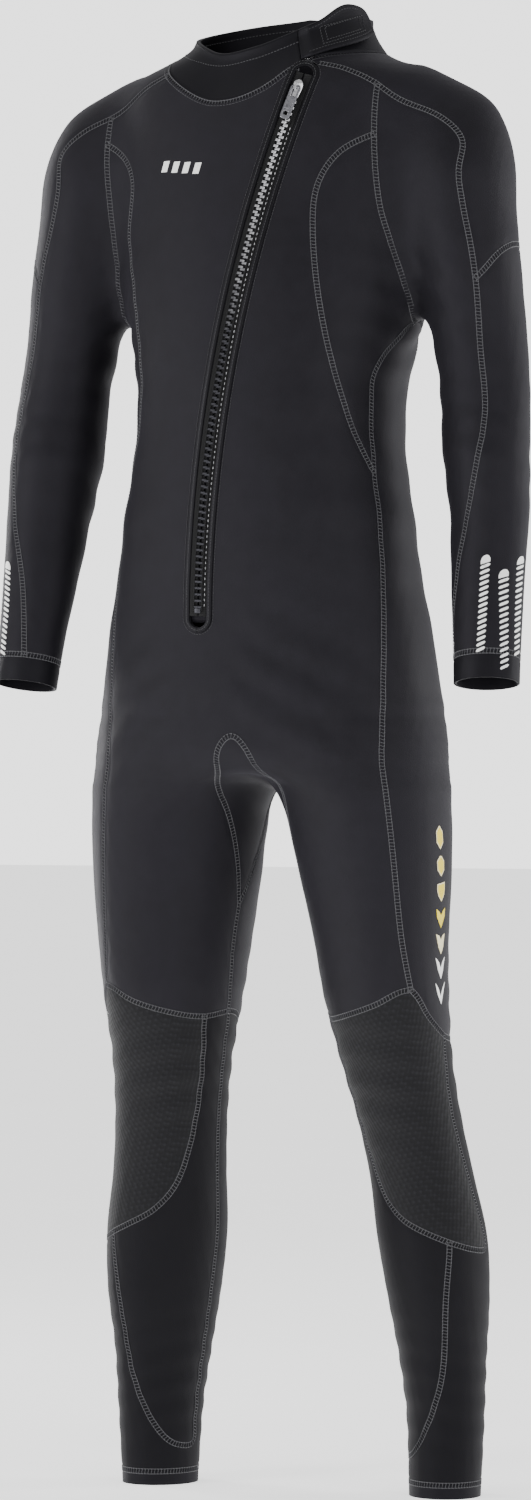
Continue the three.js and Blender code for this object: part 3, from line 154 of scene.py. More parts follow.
def spline(table, at):
    """Values of a table at some keys, on a smooth curve through its rows."""
    table = np.asarray(table, float)
    keys, values = table[:, 0], table[:, 1:]
    at = np.clip(np.asarray(at, float), keys[0], keys[-1])
    i = np.clip(np.searchsorted(keys, at, side="right") - 1, 0, len(keys) - 2)
    slope = np.empty_like(values)
    slope[1:-1] = (values[2:] - values[:-2]) / (keys[2:] - keys[:-2])[:, None]
    slope[0] = (values[1] - values[0]) / (keys[1] - keys[0])
    slope[-1] = (values[-1] - values[-2]) / (keys[-1] - keys[-2])
    span = (keys[i + 1] - keys[i])[..., None]
    t = ((at - keys[i])[..., None]) / span
    return (values[i] * (2 * t ** 3 - 3 * t ** 2 + 1) + slope[i] * span * (t ** 3 - 2 * t ** 2 + t)
            + values[i + 1] * (3 * t ** 2 - 2 * t ** 3) + slope[i + 1] * span * (t ** 3 - t ** 2))


def oval_distance(u, v, a, b, power):
    x, y = np.abs(u) + 1e-6, np.abs(v) + 1e-6
    size = ((x / a) ** power + (y / b) ** power) ** (1 / power)
    gx = size ** (1 - power) * (x / a) ** (power - 1) / a
    gy = size ** (1 - power) * (y / b) ** (power - 1) / b
    return (size - 1) / np.hypot(gx, gy)


def limb_distance(rows, bottom, side, p):
    x, y, z = p[..., 0], p[..., 1], p[..., 2]
    cx, cy, a, b, turn = np.moveaxis(spline(rows, z), -1, 0)
    angle = np.radians(turn)
    dx, dy = side * x - cx, y - cy
    u = dx * np.cos(angle) - dy * np.sin(angle)
    v = dx * np.sin(angle) + dy * np.cos(angle)
    d = oval_distance(u, v, a, b, 2) + TOP_SLOPE * np.maximum(z - rows[-1, 0], 0)
    return np.maximum(d, bottom - z)


def trunk_distance(p):
    x, y, z = p[..., 0], p[..., 1], p[..., 2]
    cy, a, back, front = np.moveaxis(spline(TRUNK, z), -1, 0)
    d = oval_distance(x, y - cy, a, np.where(y < cy, front, back), SQUARENESS)
    return np.maximum(d, TRUNK_BOTTOM - z)


def smooth_least(a, b, reach):
    h = np.clip(0.5 + 0.5 * (b - a) / reach, 0, 1)
    return b * (1 - h) + a * h - reach * h * (1 - h)


# Soft folds: centre, direction in which they repeat, spacing, depth and reach in millimetres.
FOLDS = [
    ((150, 20, 1185), (0.35, -0.2, 0.9), 34, 1.3, 55), ((232, -40, 1062), (0.1, 0.3, 0.95), 31, 0.5, 50),
    ((232, 30, 1030), (0.1, -0.3, 0.95), 35, 0.5, 45), ((60, -80, 800), (0.62, 0, 0.78), 38, 1.1, 60),
    ((118, 88, 470), (0.1, 0.2, 0.97), 30, 1.4, 60), ((120, -30, 420), (0.1, -0.2, 0.97), 33, 0.8, 55),
    ((120, 0, 1010), (0.3, 0, 0.95), 46, 0.9, 80), ((150, 90, 110), (0, 0.1, 1), 26, 0.8, 60),
    ((70, 90, 720), (0.5, 0, 0.86), 36, 1.2, 60), ((30, 100, 1000), (0.15, 0, 0.98), 44, 1.2, 80)]


def fold_height(p):
    """How far soft folds stand out of the suit: strongest where the body bends."""
    total = np.zeros(p.shape[:-1])
    mirrored = np.stack([np.abs(p[..., 0]), p[..., 1], p[..., 2]], -1)
    sway = 9 * np.sin(p[..., 0] / 37 + 1.3) + 7 * np.sin(p[..., 1] / 29 + p[..., 2] / 83)
    for centre, way, spacing, depth, reach in FOLDS:
        start = mirrored - np.array(centre)
        near = np.exp(-(start ** 2).sum(-1) / (2 * reach ** 2))
        total += depth * near * np.sin(2 * math.pi * (start @ unit(np.array(way)) + sway) / spacing)
    return total


def joined_limbs(p):
    legs = smooth_least(limb_distance(LEG, LEG_BOTTOM, 1, p),
                        limb_distance(LEG, LEG_BOTTOM, -1, p), CROTCH_BLEND)
    d = smooth_least(trunk_distance(p), legs, HIP_BLEND)
    for side in (1, -1):
        d = smooth_least(d, limb_distance(ARM, ARM_BOTTOM, side, p), SHOULDER_BLEND)
    return d


def even_steps(reach, ways):
    """Steps to average over: none, and half and whole ones each way."""
    return [np.zeros(3)] + [np.array(way) * reach * k for way in ways for k in (-1, -0.5, 0.5, 1)]


# Where trunk and limbs meet, eased so that no ledge shows: lowest and highest, least distance
# from the middle, and the steps that the form is averaged over.
EASED = [(672, 806, -30, even_steps(30, [(0, 0, 1)])),
         (1380, 1455, 92, even_steps(14, [(1, 0, 0), (0, 0, 1), (0, 1, 0)]))]


def body_distance(p):
    """Distance of points outside the suit's outer face, below zero inside it."""
    d = joined_limbs(p)
    for low, high, inner, steps in EASED:
        rise = np.minimum(p[..., 2] - low, high - p[..., 2]) / 24
        weight = np.clip(rise, 0, 1) * np.clip((np.abs(p[..., 0]) - inner) / 16, 0, 1)
        at = weight > 0
        if at.any():
            share = weight[at] ** 2 * (3 - 2 * weight[at])
            d[at] += share * (np.mean([joined_limbs(p[at] + s) for s in steps], 0) - d[at])
    return d


def slope_at(p, e=0.5):
    steps = np.eye(3) * e
    return np.stack([body_distance(p + s) - body_distance(p - s) for s in steps], -1) / (2 * e)


def settle(p, rounds=4):
    """Brings points onto the outer face."""
    for _ in range(rounds):
        slope = slope_at(p)
        size = np.maximum((slope ** 2).sum(-1), 0.2)
        p = p - slope * (body_distance(p) / size)[..., None]
    return p


# ------------------------------------------------------------------ the skin as one mesh
def grid_field(axes):
    field = np.empty([len(a) for a in axes])
    x, y = np.meshgrid(axes[0], axes[1], indexing="ij")
    for k, z in enumerate(axes[2]):
        field[:, :, k] = body_distance(np.stack([x, y, np.full_like(x, z)], -1))
    return field


def make_skin():
    """One point in each grid cell that the outer face crosses, joined across the cell walls."""
    axes = [np.arange(low, high, STEP) for low, high in ((-324, 330), (-168, 210), (-24, 1518))]
    field = grid_field(axes)
    inside = field < 0
    corner = [(a & 1, (a >> 1) & 1, a >> 2) for a in range(8)]
    n = np.array(field.shape) - 1
    part = {c: field[c[0]:c[0] + n[0], c[1]:c[1] + n[1], c[2]:c[2] + n[2]] for c in corner}
    count = sum((part[c] < 0).astype(int) for c in corner)
    active = (count > 0) & (count < 8)
    cells = np.argwhere(active)
    number = np.full(n, -1)
    number[active] = np.arange(len(cells))
    total, hits = np.zeros((len(cells), 3)), np.zeros(len(cells))
    for a in corner:
        for axis in range(3):
            if a[axis]:
                continue
            b = tuple(v + (k == axis) for k, v in enumerate(a))
            fa, fb = part[a][active], part[b][active]
            crossed = (fa < 0) != (fb < 0)
            t = np.where(crossed, fa / np.where(crossed, fa - fb, 1), 0)
            place = cells + np.array(a) + np.eye(3)[axis] * t[:, None]
            total += place * crossed[:, None]
            hits += crossed
    low = np.array([a[0] for a in axes])
    points = settle(low + STEP * total / hits[:, None])
    quads = []
    for axis in range(3):
        u, v = (axis + 1) % 3, (axis + 2) % 3
        ahead = np.roll(inside, -1, axis)
        change = inside != ahead
        change[tuple(slice(-1, None) if k == axis else slice(None) for k in range(3))] = False
        where = np.argwhere(change)
        where = where[(where > 0).all(1) & (where < n).all(1)]
        eu, ev = np.eye(3, dtype=int)[u], np.eye(3, dtype=int)[v]
        ring = np.stack([number[tuple((where - s).T)] for s in (0 * eu, eu, eu + ev, ev)], 1)
        out = inside[tuple(where.T)]
        ring[~out] = ring[~out][:, ::-1]
        quads.append(ring)
    quads = np.concatenate(quads)
    p, q, r, s = (points[quads[:, k]] for k in range(4))
    short = np.linalg.norm(p - r, axis=1) < np.linalg.norm(q - s, axis=1)
    a, b = quads[short], quads[~short]
    triangles = np.concatenate([a[:, [0, 1, 2]], a[:, [0, 2, 3]], b[:, [1, 2, 3]], b[:, [1, 3, 0]]])
    return points, triangles


# ------------------------------------------------------------------ seams
ROUND, SLEEVE_ROUND = 1.2, 0.85
HALF_BODY = (94, 4)
LEG_TOP = 740
NECK = np.array([0.0, 38.0])

KNEE_LOOP = [
    [-180, 462], [-130, 470], [-95, 484], [-49, 480], [-15, 486], [12, 496], [40, 511],
    [55, 484], [77, 464], [110, 460], [150, 461], [180, 462]]
SIDE_FRONT = [
    [62, 1149], [38, 1126], [32, 1092], [33, 1033], [38, 936], [36, 800], [33, 704], [34, 577],
    [40, 511], [52, 430]]
SIDE_BACK = [[128, 430], [135, 600], [142, 700], [150, 800], [153, 950], [150, 1120]]
SIDE_TOP = [[143, 1160], [115, 1172], [85, 1167], [62, 1149]]
GUSSET_FRONT = [[-43.5, 776], [-36, 742], [-46, 708], [-58, 684], [-72, 640], [-82, 590]]
GUSSET_BACK = [[-82, 590], [-98, 640], [-112, 700], [-123, 750], [-137.5, 806]]
INSEAM = [[480, -86], [545, -82], [590, -82], [700, -82]]
KNEE_OUTER = [[40, 530], [55, 484], [77, 464], [72, 383], [80, 300], [88, 247]]
KNEE_LOWER = [
    [88, 247], [60, 250], [36, 258], [8, 272], [-10, 284], [-32, 312], [-49, 365], [-56, 425],
    [-53, 500]]
SHIN_OUTER = [[36, 258], [27, 200], [20, 130], [4, 88], [-16, 60], [-42, 42], [-86, 38]]
WAIST_BACK = [[90, 1015], [150, 1010], [190, 995], [223, 988], [280, 988]]
SEAT_FOLD = [[90, 718], [150, 712], [195, 690], [235, 696], [280, 720]]
BESIDE_TRUNK = [[600, 240], [760, 225], [790, 202], [812, 194], [868, 188], [920, 178],
                [980, 170], [1040, 160], [1100, 154], [1150, 151]]
ARMHOLE = {
    1: BESIDE_TRUNK + [[1192, 154], [1239, 145], [1286, 134], [1355, 128], [1430, 128]],
    -1: BESIDE_TRUNK + [[1192, 156], [1239, 155], [1286, 158], [1355, 163], [1430, 158]]}
CHEST_SEAM = {
    1: [[1000, 140], [1034, 124], [1091, 106], [1187, 86], [1266, 77], [1305, 80], [1336, 98],
        [1352, 124], [1362, 150]],
    -1: [[1000, 140], [1034, 124], [1110, 112], [1200, 122], [1262, 134], [1310, 129],
         [1336, 138], [1350, 154], [1362, 176]]}
SLEEVE_FRONT = {
    1: [[780, -78], [850, -70], [916, -44], [1013, 1], [1070, 18], [1139, 18], [1209, 23],
        [1265, 22], [1319, 14], [1371, -19]],
    -1: [[780, -28], [850, -12], [916, 8], [978, 31], [1070, 43], [1139, 38], [1209, 32],
         [1265, 25], [1319, 14], [1371, -19]]}
SLEEVE_BACK = [[780, -160], [860, -155], [960, -138], [1070, -125], [1280, -122]]
SLEEVE_CROSS = [[0, 1200], [23, 1209], [57, 1237], [90, 1246], [180, 1241], [240, 1236]]
SHOULDER_FRONT = [[40, -52], [81, -47], [125, -37], [166, -27], [215, -31]]
SHOULDER_BACK = [[40, 62], [81, 66], [125, 66], [215, 66]]
NECKLINE = [
    [-180, 1448], [-90, 1442], [-68, 1438], [-55, 1429], [-44, 1414], [-33, 1399], [-22, 1389],
    [-12, 1388], [0, 1393], [13, 1404], [24, 1419], [36, 1431], [60, 1438], [90, 1442], [180, 1448]]


def value_at(table, key):
    return spline(table, key)[..., 0]


def by_side(tables, p, key):
    return np.where(p[:, 0] < 0, value_at(tables[-1], key), value_at(tables[1], key))


def smooth_line(points, per_span=6):
    """Points on a smooth curve through some points, evenly spaced in its parameter."""
    points = np.asarray(points, float)
    index = np.arange(len(points), dtype=float)
    at = np.linspace(0, len(points) - 1, (len(points) - 1) * per_span + 1)
    return spline(np.column_stack([index, points]), at)


def inside_outline(curves, scale):
    """Signed distance from a closed outline, above zero inside."""
    outline = np.concatenate([smooth_line(c) for c in curves]) * [scale, 1]
    a, b = outline, np.roll(outline, 1, 0)
    edge = b - a
    length = np.maximum((edge ** 2).sum(1), 1e-9)

    def value(u, v):
        q = np.stack([u * scale, v], -1)[:, None]
        t = np.clip(((q - a) * edge).sum(-1) / length, 0, 1)
        near = np.linalg.norm(q - a - t[..., None] * edge, axis=-1).min(1)
        over = (a[:, 1] > q[..., 1]) != (b[:, 1] > q[..., 1])
        rise = np.where(edge[:, 1] == 0, 1, edge[:, 1])
        hits = over & (q[..., 0] < a[:, 0] + (q[..., 1] - a[:, 1]) / rise * edge[:, 0])
        return np.where(hits.sum(1) % 2 == 1, near, -near)
    return value


def leg_angle(p):
    rows = spline(LEG, p[:, 2])
    low = p[:, 2] < LEG_TOP
    cx, cy = np.where(low, rows[:, 0], HALF_BODY[0]), np.where(low, rows[:, 1], HALF_BODY[1])
    return np.degrees(np.arctan2(np.abs(p[:, 0]) - cx, cy - p[:, 1]))


def arm_angle(p):
    rows = spline(ARM, p[:, 2])
    return np.degrees(np.arctan2(np.abs(p[:, 0]) - rows[:, 0], rows[:, 1] - p[:, 1]))


def neck_angle(p):
    return np.degrees(np.arctan2(p[..., 0] - NECK[0], NECK[1] - p[..., 1]))


def sleeve_axis():
    low, high = spline(ARM, SLEEVE_END)[:2], spline(ARM, 1000)[:2]
    return unit(np.array([low[0] - high[0], low[1] - high[1], SLEEVE_END - 1000]))


def wrist_distance(p):
    x, y = spline(ARM, SLEEVE_END)[:2]
    start = np.stack([np.abs(p[:, 0]) - x, p[:, 1] - y, p[:, 2] - SLEEVE_END], -1)
    return -(start @ sleeve_axis())


# Where the end of a sleeve is looked for: lowest, highest, and reach from its middle line.
WRIST_LOW, WRIST_HIGH, WRIST_REACH = 700, 900, 60


def near_wrist(p):
    middle = spline(ARM, p[:, 2])
    away = np.hypot(np.abs(p[:, 0]) - middle[..., 0], p[:, 1] - middle[..., 1])
    return (p[:, 2] > WRIST_LOW) & (p[:, 2] < WRIST_HIGH) & (away < WRIST_REACH)


def inner_sleeve(p):
    angle = arm_angle(p)
    turned = np.where(angle > 130, angle - 360, angle)
    front = by_side(SLEEVE_FRONT, p, p[:, 2]) - turned
    back = turned - value_at(SLEEVE_BACK, p[:, 2])
    flat = value_at(SHOULDER_FRONT, np.abs(p[:, 0])) - p[:, 1]
    t = np.clip((p[:, 2] - 1300) / 50, 0, 1)
    t = t * t * (3 - 2 * t)
    return np.minimum(front, back) * SLEEVE_ROUND * (1 - t) + flat * t


def shoulder_strap(p):
    x = np.abs(p[:, 0])
    return np.minimum.reduce([p[:, 1] - value_at(SHOULDER_FRONT, x),
                              value_at(SHOULDER_BACK, x) - p[:, 1], p[:, 2] - 1330])


def below_sleeve_cross(p):
    angle = arm_angle(p)
    return value_at(SLEEVE_CROSS, np.where(angle < -100, angle + 360, angle)) - p[:, 2]


def zip_slot(p):
    down, side, _ = zip_coordinates(p)
    past = np.maximum(down - (ZIP_LENGTH - SLOT_HALF), 0)
    return SLOT_HALF - np.hypot(side, past)


def angle_over_back(p):
    angle = leg_angle(p)
    return np.where(angle < 0, angle + 360, angle)


def back_of_body(p):
    angle = leg_angle(p)
    return np.maximum(angle - 90, value_at(INSEAM, p[:, 2]) - angle) * ROUND


def above_neckline(p):
    return p[:, 2] - value_at(NECKLINE, neck_angle(p))


knee = inside_outline([KNEE_OUTER, KNEE_LOWER], ROUND)
shin = inside_outline([KNEE_LOWER[2:] + [[-60, 560], [-87, 560]],
                       [[-87, 560], [-87, 387], [-87, 38]], SHIN_OUTER[::-1]], ROUND)
side_shape = inside_outline([SIDE_FRONT, SIDE_BACK, SIDE_TOP], ROUND)
gusset = inside_outline([GUSSET_FRONT, GUSSET_BACK], ROUND)


def everything(p):
    return np.ones(len(p))


# The panel that is cut, where the new one lies, its name, and whether it comes in two halves.
CUTS = [
    ("suit", lambda p: -p[:, 2], "waste", False),
    ("suit", lambda p: np.where(near_wrist(p), -wrist_distance(p), -1), "waste", False),
    ("suit", above_neckline, "waste", False),
    ("suit", lambda p: np.abs(p[:, 0]) - by_side(ARMHOLE, p, p[:, 2]), "sleeve", False),
    ("suit", shoulder_strap, "shoulder_panel", True),
    ("sleeve", lambda p: WRIST_HEM - wrist_distance(p), "wrist_hem", True),
    ("sleeve", inner_sleeve, "sleeve_inner_panel", True),
    ("sleeve", below_sleeve_cross, "sleeve_outer_panel", True),
    ("sleeve", everything, "shoulder_panel", True),
    ("suit", lambda p: ANKLE_HEM - p[:, 2], "ankle_hem", True),
    ("suit", lambda p: value_at(KNEE_LOOP, leg_angle(p)) - p[:, 2], "lower_leg", False),
    ("lower_leg", lambda p: knee(leg_angle(p), p[:, 2]), "knee_panel", True),
    ("lower_leg", lambda p: shin(leg_angle(p), p[:, 2]), "shin_panel", True),
    ("lower_leg", everything, "calf_panel", True),
    ("suit", lambda p: side_shape(leg_angle(p), p[:, 2]), "side_panel", True),
    ("suit", lambda p: gusset(leg_angle(p), p[:, 2]), "crotch_gusset", False),
    ("suit", back_of_body, "back", False),
    ("back", lambda p: value_at(WAIST_BACK, angle_over_back(p)) - p[:, 2], "back_of_leg", False),
    ("back_of_leg", lambda p: value_at(SEAT_FOLD, angle_over_back(p)) - p[:, 2],
     "hamstring_panel", True),
    ("back_of_leg", everything, "seat_panel", False),
    ("back", everything, "back_panel", False),
    ("suit", lambda p: np.minimum(np.abs(p[:, 0]) - by_side(CHEST_SEAM, p, p[:, 2]),
                                  p[:, 2] - 1000), "chest_side_panel", True),
    ("suit", lambda p: np.where(np.abs(zip_coordinates(p)[1]) < 40, zip_slot(p), -1), "waste", False),
    ("suit", everything, "front_panel", False)]


# ------------------------------------------------------------------ cutting the skin
SNAP = 0.15                     # share of an edge within which its end moves onto the seam


def crossing(a, b, value):
    low, high = np.zeros(len(a)), np.ones(len(a))
    positive = value(a) > 0
    for _ in range(14):
        t = (low + high) / 2
        same = (value(a + (b - a) * t[:, None]) > 0) == positive
        low, high = np.where(same, t, low), np.where(same, high, t)
    return low


def edges_of(triangles):
    return np.concatenate([triangles[:, [0, 1]], triangles[:, [1, 2]], triangles[:, [2, 0]]])


def cut_skin(skin, panel, value, name, paired):
    points, triangles, label = skin["points"], skin["triangles"], skin["label"]
    mine = label == panel
    if not mine.any():
        return
    used = np.unique(triangles[mine])
    level = np.zeros(len(points))
    level[used] = value(points[used])
    level[used] = np.where(level[used] == 0, -1e-9, level[used])
    edges = np.unique(np.sort(edges_of(triangles[mine]), axis=1), axis=0)
    edges = edges[(level[edges[:, 0]] > 0) != (level[edges[:, 1]] > 0)]
    if len(edges):
        a, b = points[edges[:, 0]], points[edges[:, 1]]
        t = crossing(a, b, value)
        on_line = a + (b - a) * t[:, None]
        for column, share in ((0, t), (1, 1 - t)):
            near = share < SNAP
            ends = edges[near, column]
            free = ~skin["fixed"][ends]
            points[ends[free]] = on_line[near][free]
            level[ends] = 0
            skin["fixed"][ends] = True
        split = (level[edges[:, 0]] != 0) & (level[edges[:, 1]] != 0)
        edges, on_line = edges[split], settle(on_line[split], 1)
        fresh = len(points) + np.arange(len(edges))
        skin["points"] = points = np.concatenate([points, on_line])
        skin["fixed"] = np.concatenate([skin["fixed"], np.ones(len(edges), bool)])
        level = np.concatenate([level, np.zeros(len(edges))])
        split_triangles(skin, edges, fresh)
        triangles, label = skin["triangles"], skin["label"]
        mine = label == panel
    corner = level[triangles[mine]]
    most = np.take_along_axis(corner, np.abs(corner).argmax(1)[:, None], 1)[:, 0]
    centre = points[triangles[mine]].mean(1)
    flat = most == 0
    most[flat] = value(centre[flat]) if flat.any() else 0
    index = np.where(mine)[0][most > 0]
    chosen = centre[most > 0]
    if paired:
        label[index] = np.where(chosen[:, 0] < 0, f"{name}_right", f"{name}_left")
    else:
        label[index] = name


def split_triangles(skin, edges, fresh):
    """Splits every triangle that has a new point on one, two or three of its edges."""
    triangles, label = skin["triangles"], skin["label"]
    if not len(edges):
        return
    size = int(skin["points"].shape[0]) + 1
    keys = edges[:, 0] * size + edges[:, 1]
    order = np.argsort(keys)
    keys, fresh = keys[order], fresh[order]
    cut = np.full(triangles.shape, -1)
    for k in range(3):
        pair = np.sort(triangles[:, [k, (k + 1) % 3]], axis=1)
        key = pair[:, 0] * size + pair[:, 1]
        at = np.minimum(np.searchsorted(keys, key), len(keys) - 1)
        cut[:, k] = np.where(keys[at] == key, fresh[at], -1)
    count = (cut >= 0).sum(1)
    parts, names = [triangles[count == 0]], [label[count == 0]]

    def keep(rows, *corners):
        for c in corners:
            parts.append(np.stack(c, 1))
            names.append(label[rows])

    for k in range(3):
        i, j, l = k, (k + 1) % 3, (k + 2) % 3
        one = (count == 1) & (cut[:, i] >= 0)
        a, b, c, m = triangles[one, i], triangles[one, j], triangles[one, l], cut[one, i]
        keep(one, (a, m, c), (m, b, c))
        two = (count == 2) & (cut[:, l] < 0)
        a, b, c = triangles[two, i], triangles[two, j], triangles[two, l]
        ab, bc = cut[two, i], cut[two, j]
        keep(two, (ab, b, bc), (a, ab, bc), (a, bc, c))
    three = count == 3
    a, b, c = triangles[three].T
    ab, bc, ca = cut[three].T
    keep(three, (a, ab, ca), (ab, b, bc), (ca, bc, c), (ab, bc, ca))
    skin["triangles"], skin["label"] = np.concatenate(parts), np.concatenate(names)


def shared_edges(triangles):
    """Pairs of triangles that share an edge, with the edge's two points."""
    directed = edges_of(triangles)
    owner = np.tile(np.arange(len(triangles)), 3)
    pair = np.sort(directed, axis=1)
    order = np.lexsort((pair[:, 1], pair[:, 0]))
    pair, owner = pair[order], owner[order]
    same = (pair[1:] == pair[:-1]).all(1)
    first = np.where(same)[0]
    return pair[first], owner[first], owner[first + 1]


def join_crumbs(skin):
    """Gives stray crumbs of a panel to the panel beside them."""
    triangles, label = skin["triangles"], skin["label"]
    _, left, right = shared_edges(triangles)
    same = label[left] == label[right]
    group = np.arange(len(triangles))
    links = np.stack([left[same], right[same]], 1)
    for _ in range(400):
        least = np.minimum(group[links[:, 0]], group[links[:, 1]])
        before = group.copy()
        np.minimum.at(group, links[:, 0], least)
        np.minimum.at(group, links[:, 1], least)
        group = group[group]
        if (group == before).all():
            break
    roots, counts = np.unique(group, return_counts=True)
    size = dict(zip(roots, counts))
    for name in np.unique(label):
        own = np.unique(group[label == name])
        largest = max(own, key=lambda g: size[g])
        for g in own:
            if g == largest or size[g] > 200 or name == "waste":
                continue
            members = group == g
            beside = np.concatenate([label[right[members[left]]], label[left[members[right]]]])
            beside = beside[(beside != name) & (beside != "waste")]
            if len(beside):
                kinds, votes = np.unique(beside, return_counts=True)
                label[members] = kinds[votes.argmax()]


def cut_panels():
    points, triangles = make_skin()
    skin = dict(points=points, triangles=triangles, fixed=np.zeros(len(points), bool),
                label=np.full(len(triangles), "suit", dtype="<U24"))
    for cut in CUTS:
        cut_skin(skin, *cut)
    join_crumbs(skin)
    return skin


def area_normals(points, triangles):
    normal = np.zeros_like(points)
    a, b, c = (points[triangles[:, k]] for k in range(3))
    face = np.cross(b - a, c - a)
    for k in range(3):
        np.add.at(normal, triangles[:, k], face)
    return normal / np.maximum(np.linalg.norm(normal, axis=1, keepdims=True), 1e-12)


# ------------------------------------------------------------------ chains of seam edges
def chains_of(edges):
    """Joins edges into lines that run between branching points, and into loops."""
    beside = {}
    for a, b in edges.tolist():
        beside.setdefault(a, []).append(b)
        beside.setdefault(b, []).append(a)
    left = {(min(a, b), max(a, b)) for a, b in edges.tolist()}

    def walk(start, following):
        line = [start, following]
        left.discard((min(line), max(line)))
        while len(beside[line[-1]]) == 2:
            ahead = [n for n in beside[line[-1]] if (min(n, line[-1]), max(n, line[-1])) in left]
            if not ahead:
                break
            left.discard((min(ahead[0], line[-1]), max(ahead[0], line[-1])))
            line.append(ahead[0])
        return line

    lines = []
    for a in sorted(beside):
        if len(beside[a]) != 2:
            for b in beside[a]:
                if (min(a, b), max(a, b)) in left:
                    lines.append(walk(a, b))
    while left:
        a, b = min(left)
        lines.append(walk(a, b))
    return lines


def smoothed(line, spacing=4.0, rounds=6):
    """A line resampled evenly and relaxed, with its ends kept."""
    step = np.linalg.norm(np.diff(line, axis=0), axis=1)
    far = np.concatenate([[0], np.cumsum(step)])
    count = max(int(far[-1] / spacing), 1) + 1
    at = np.linspace(0, far[-1], count)
    line = np.stack([np.interp(at, far, line[:, k]) for k in range(3)], 1)
    for _ in range(rounds):
        line[1:-1] = (line[:-2] + 2 * line[1:-1] + line[2:]) / 4
    return line


# ------------------------------------------------------------------ meshes
def new_object(name, vertices, faces, material=None, normals=None, smooth=True):
    mesh = bpy.data.meshes.new(name)
    mesh.from_pydata((np.asarray(vertices, float) * MM).tolist(), [], [list(f) for f in faces])
    if smooth:
        mesh.shade_smooth()
    if normals is not None:
        mesh.normals_split_custom_set_from_vertices(normals.tolist())
    obj = bpy.data.objects.new(name, mesh)
    bpy.context.scene.collection.objects.link(obj)
    if material:
        mesh.materials.append(material)
    return obj


def outward(vertices, faces):
    """The same faces, turned so that a closed shape's volume is above zero."""
    v = np.asarray(vertices, float)
    volume = 0.0
    for f in faces:
        for k in range(1, len(f) - 1):
            volume += v[f[0]] @ np.cross(v[f[k]], v[f[k + 1]])
    return faces if volume > 0 else [list(f)[::-1] for f in faces]


def tube_faces(rings, around, capped=True, closed=False):
    """Faces of a shape made of rings of points, one ring after another."""
    faces = []
    last = rings if closed else rings - 1
    for i in range(last):
        for j in range(around):
            a, b = i * around + j, i * around + (j + 1) % around
            c, d = ((i + 1) % rings) * around + (j + 1) % around, ((i + 1) % rings) * around + j
            faces.append((a, b, c, d))
    if capped and not closed:
        faces.append(tuple(range(around))[::-1])
        faces.append(tuple(range((rings - 1) * around, rings * around)))
    return faces


def loft(name, rings, material, closed=False, smooth=True):
    """A closed shape through rings of points, an array of rings by points by three."""
    rings = np.asarray(rings, float)
    count, around = rings.shape[:2]
    vertices = rings.reshape(-1, 3)
    faces = outward(vertices, tube_faces(count, around, closed=closed))
    return new_object(name, vertices, faces, material, smooth=smooth)


def round_profile(width, height, corner, steps=3):
    """A rounded rectangle about the origin, as points in two directions."""
    corner = min(corner, width / 2 - 1e-3, height / 2 - 1e-3)
    points = []
    for cx, cy, start in ((1, 1, 0), (-1, 1, 90), (-1, -1, 180), (1, -1, 270)):
        for k in range(steps + 1):
            angle = math.radians(start + 90 * k / steps)
            points.append((cx * (width / 2 - corner) + corner * math.cos(angle),
                           cy * (height / 2 - corner) + corner * math.sin(angle)))
    return np.array(points)


def finish_piece(obj, slot, *nodes, body=SUIT):
    if body:
        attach(obj, body)
    if nodes:
        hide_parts(*nodes)
    return obj


# ------------------------------------------------------------------ materials
def srgb(code):
    """A hex colour as linear red, green, blue and one."""
    parts = [int(code[k:k + 2], 16) / 255 for k in (1, 3, 5)]
    return [c / 12.92 if c <= 0.04045 else ((c + 0.055) / 1.055) ** 2.4 for c in parts] + [1]


def add(tree, kind, settings=None, **sockets):
    """A new node. Keyword names are its sockets', a value or another node's output."""
    node = tree.nodes.new(kind)
    for key, value in (settings or {}).items():
        setattr(node, key, value)
    for key, value in sockets.items():
        socket = node.inputs[int(key[1:])] if key[1:].isdigit() else node.inputs[key.replace("_", " ")]
        if isinstance(value, bpy.types.NodeSocket):
            tree.links.new(value, socket)
        else:
            socket.default_value = value
    return node


def new_material(name, **constants):
    """A material with one principled shader, and its tree, shader and object coordinates."""
    material = bpy.data.materials.new(name)
    material.use_nodes = True
    tree = material.node_tree
    tree.nodes.clear()
    shader = add(tree, "ShaderNodeBsdfPrincipled", **constants)
    output = add(tree, "ShaderNodeOutputMaterial")
    tree.links.new(shader.outputs[0], output.inputs[0])
    place = add(tree, "ShaderNodeTexCoord").outputs["Object"]
    return material, tree, shader, place


def tone(tree, factor, dark, light, low=0.3, high=0.7):
    """A colour between two, by a factor."""
    spread = add(tree, "ShaderNodeMapRange", Value=factor, From_Min=low, From_Max=high)
    mix = add(tree, "ShaderNodeMix", {"data_type": "RGBA"}, Factor=spread.outputs[0])
    mix.inputs[6].default_value = dark
    mix.inputs[7].default_value = light
    return mix.outputs[2]


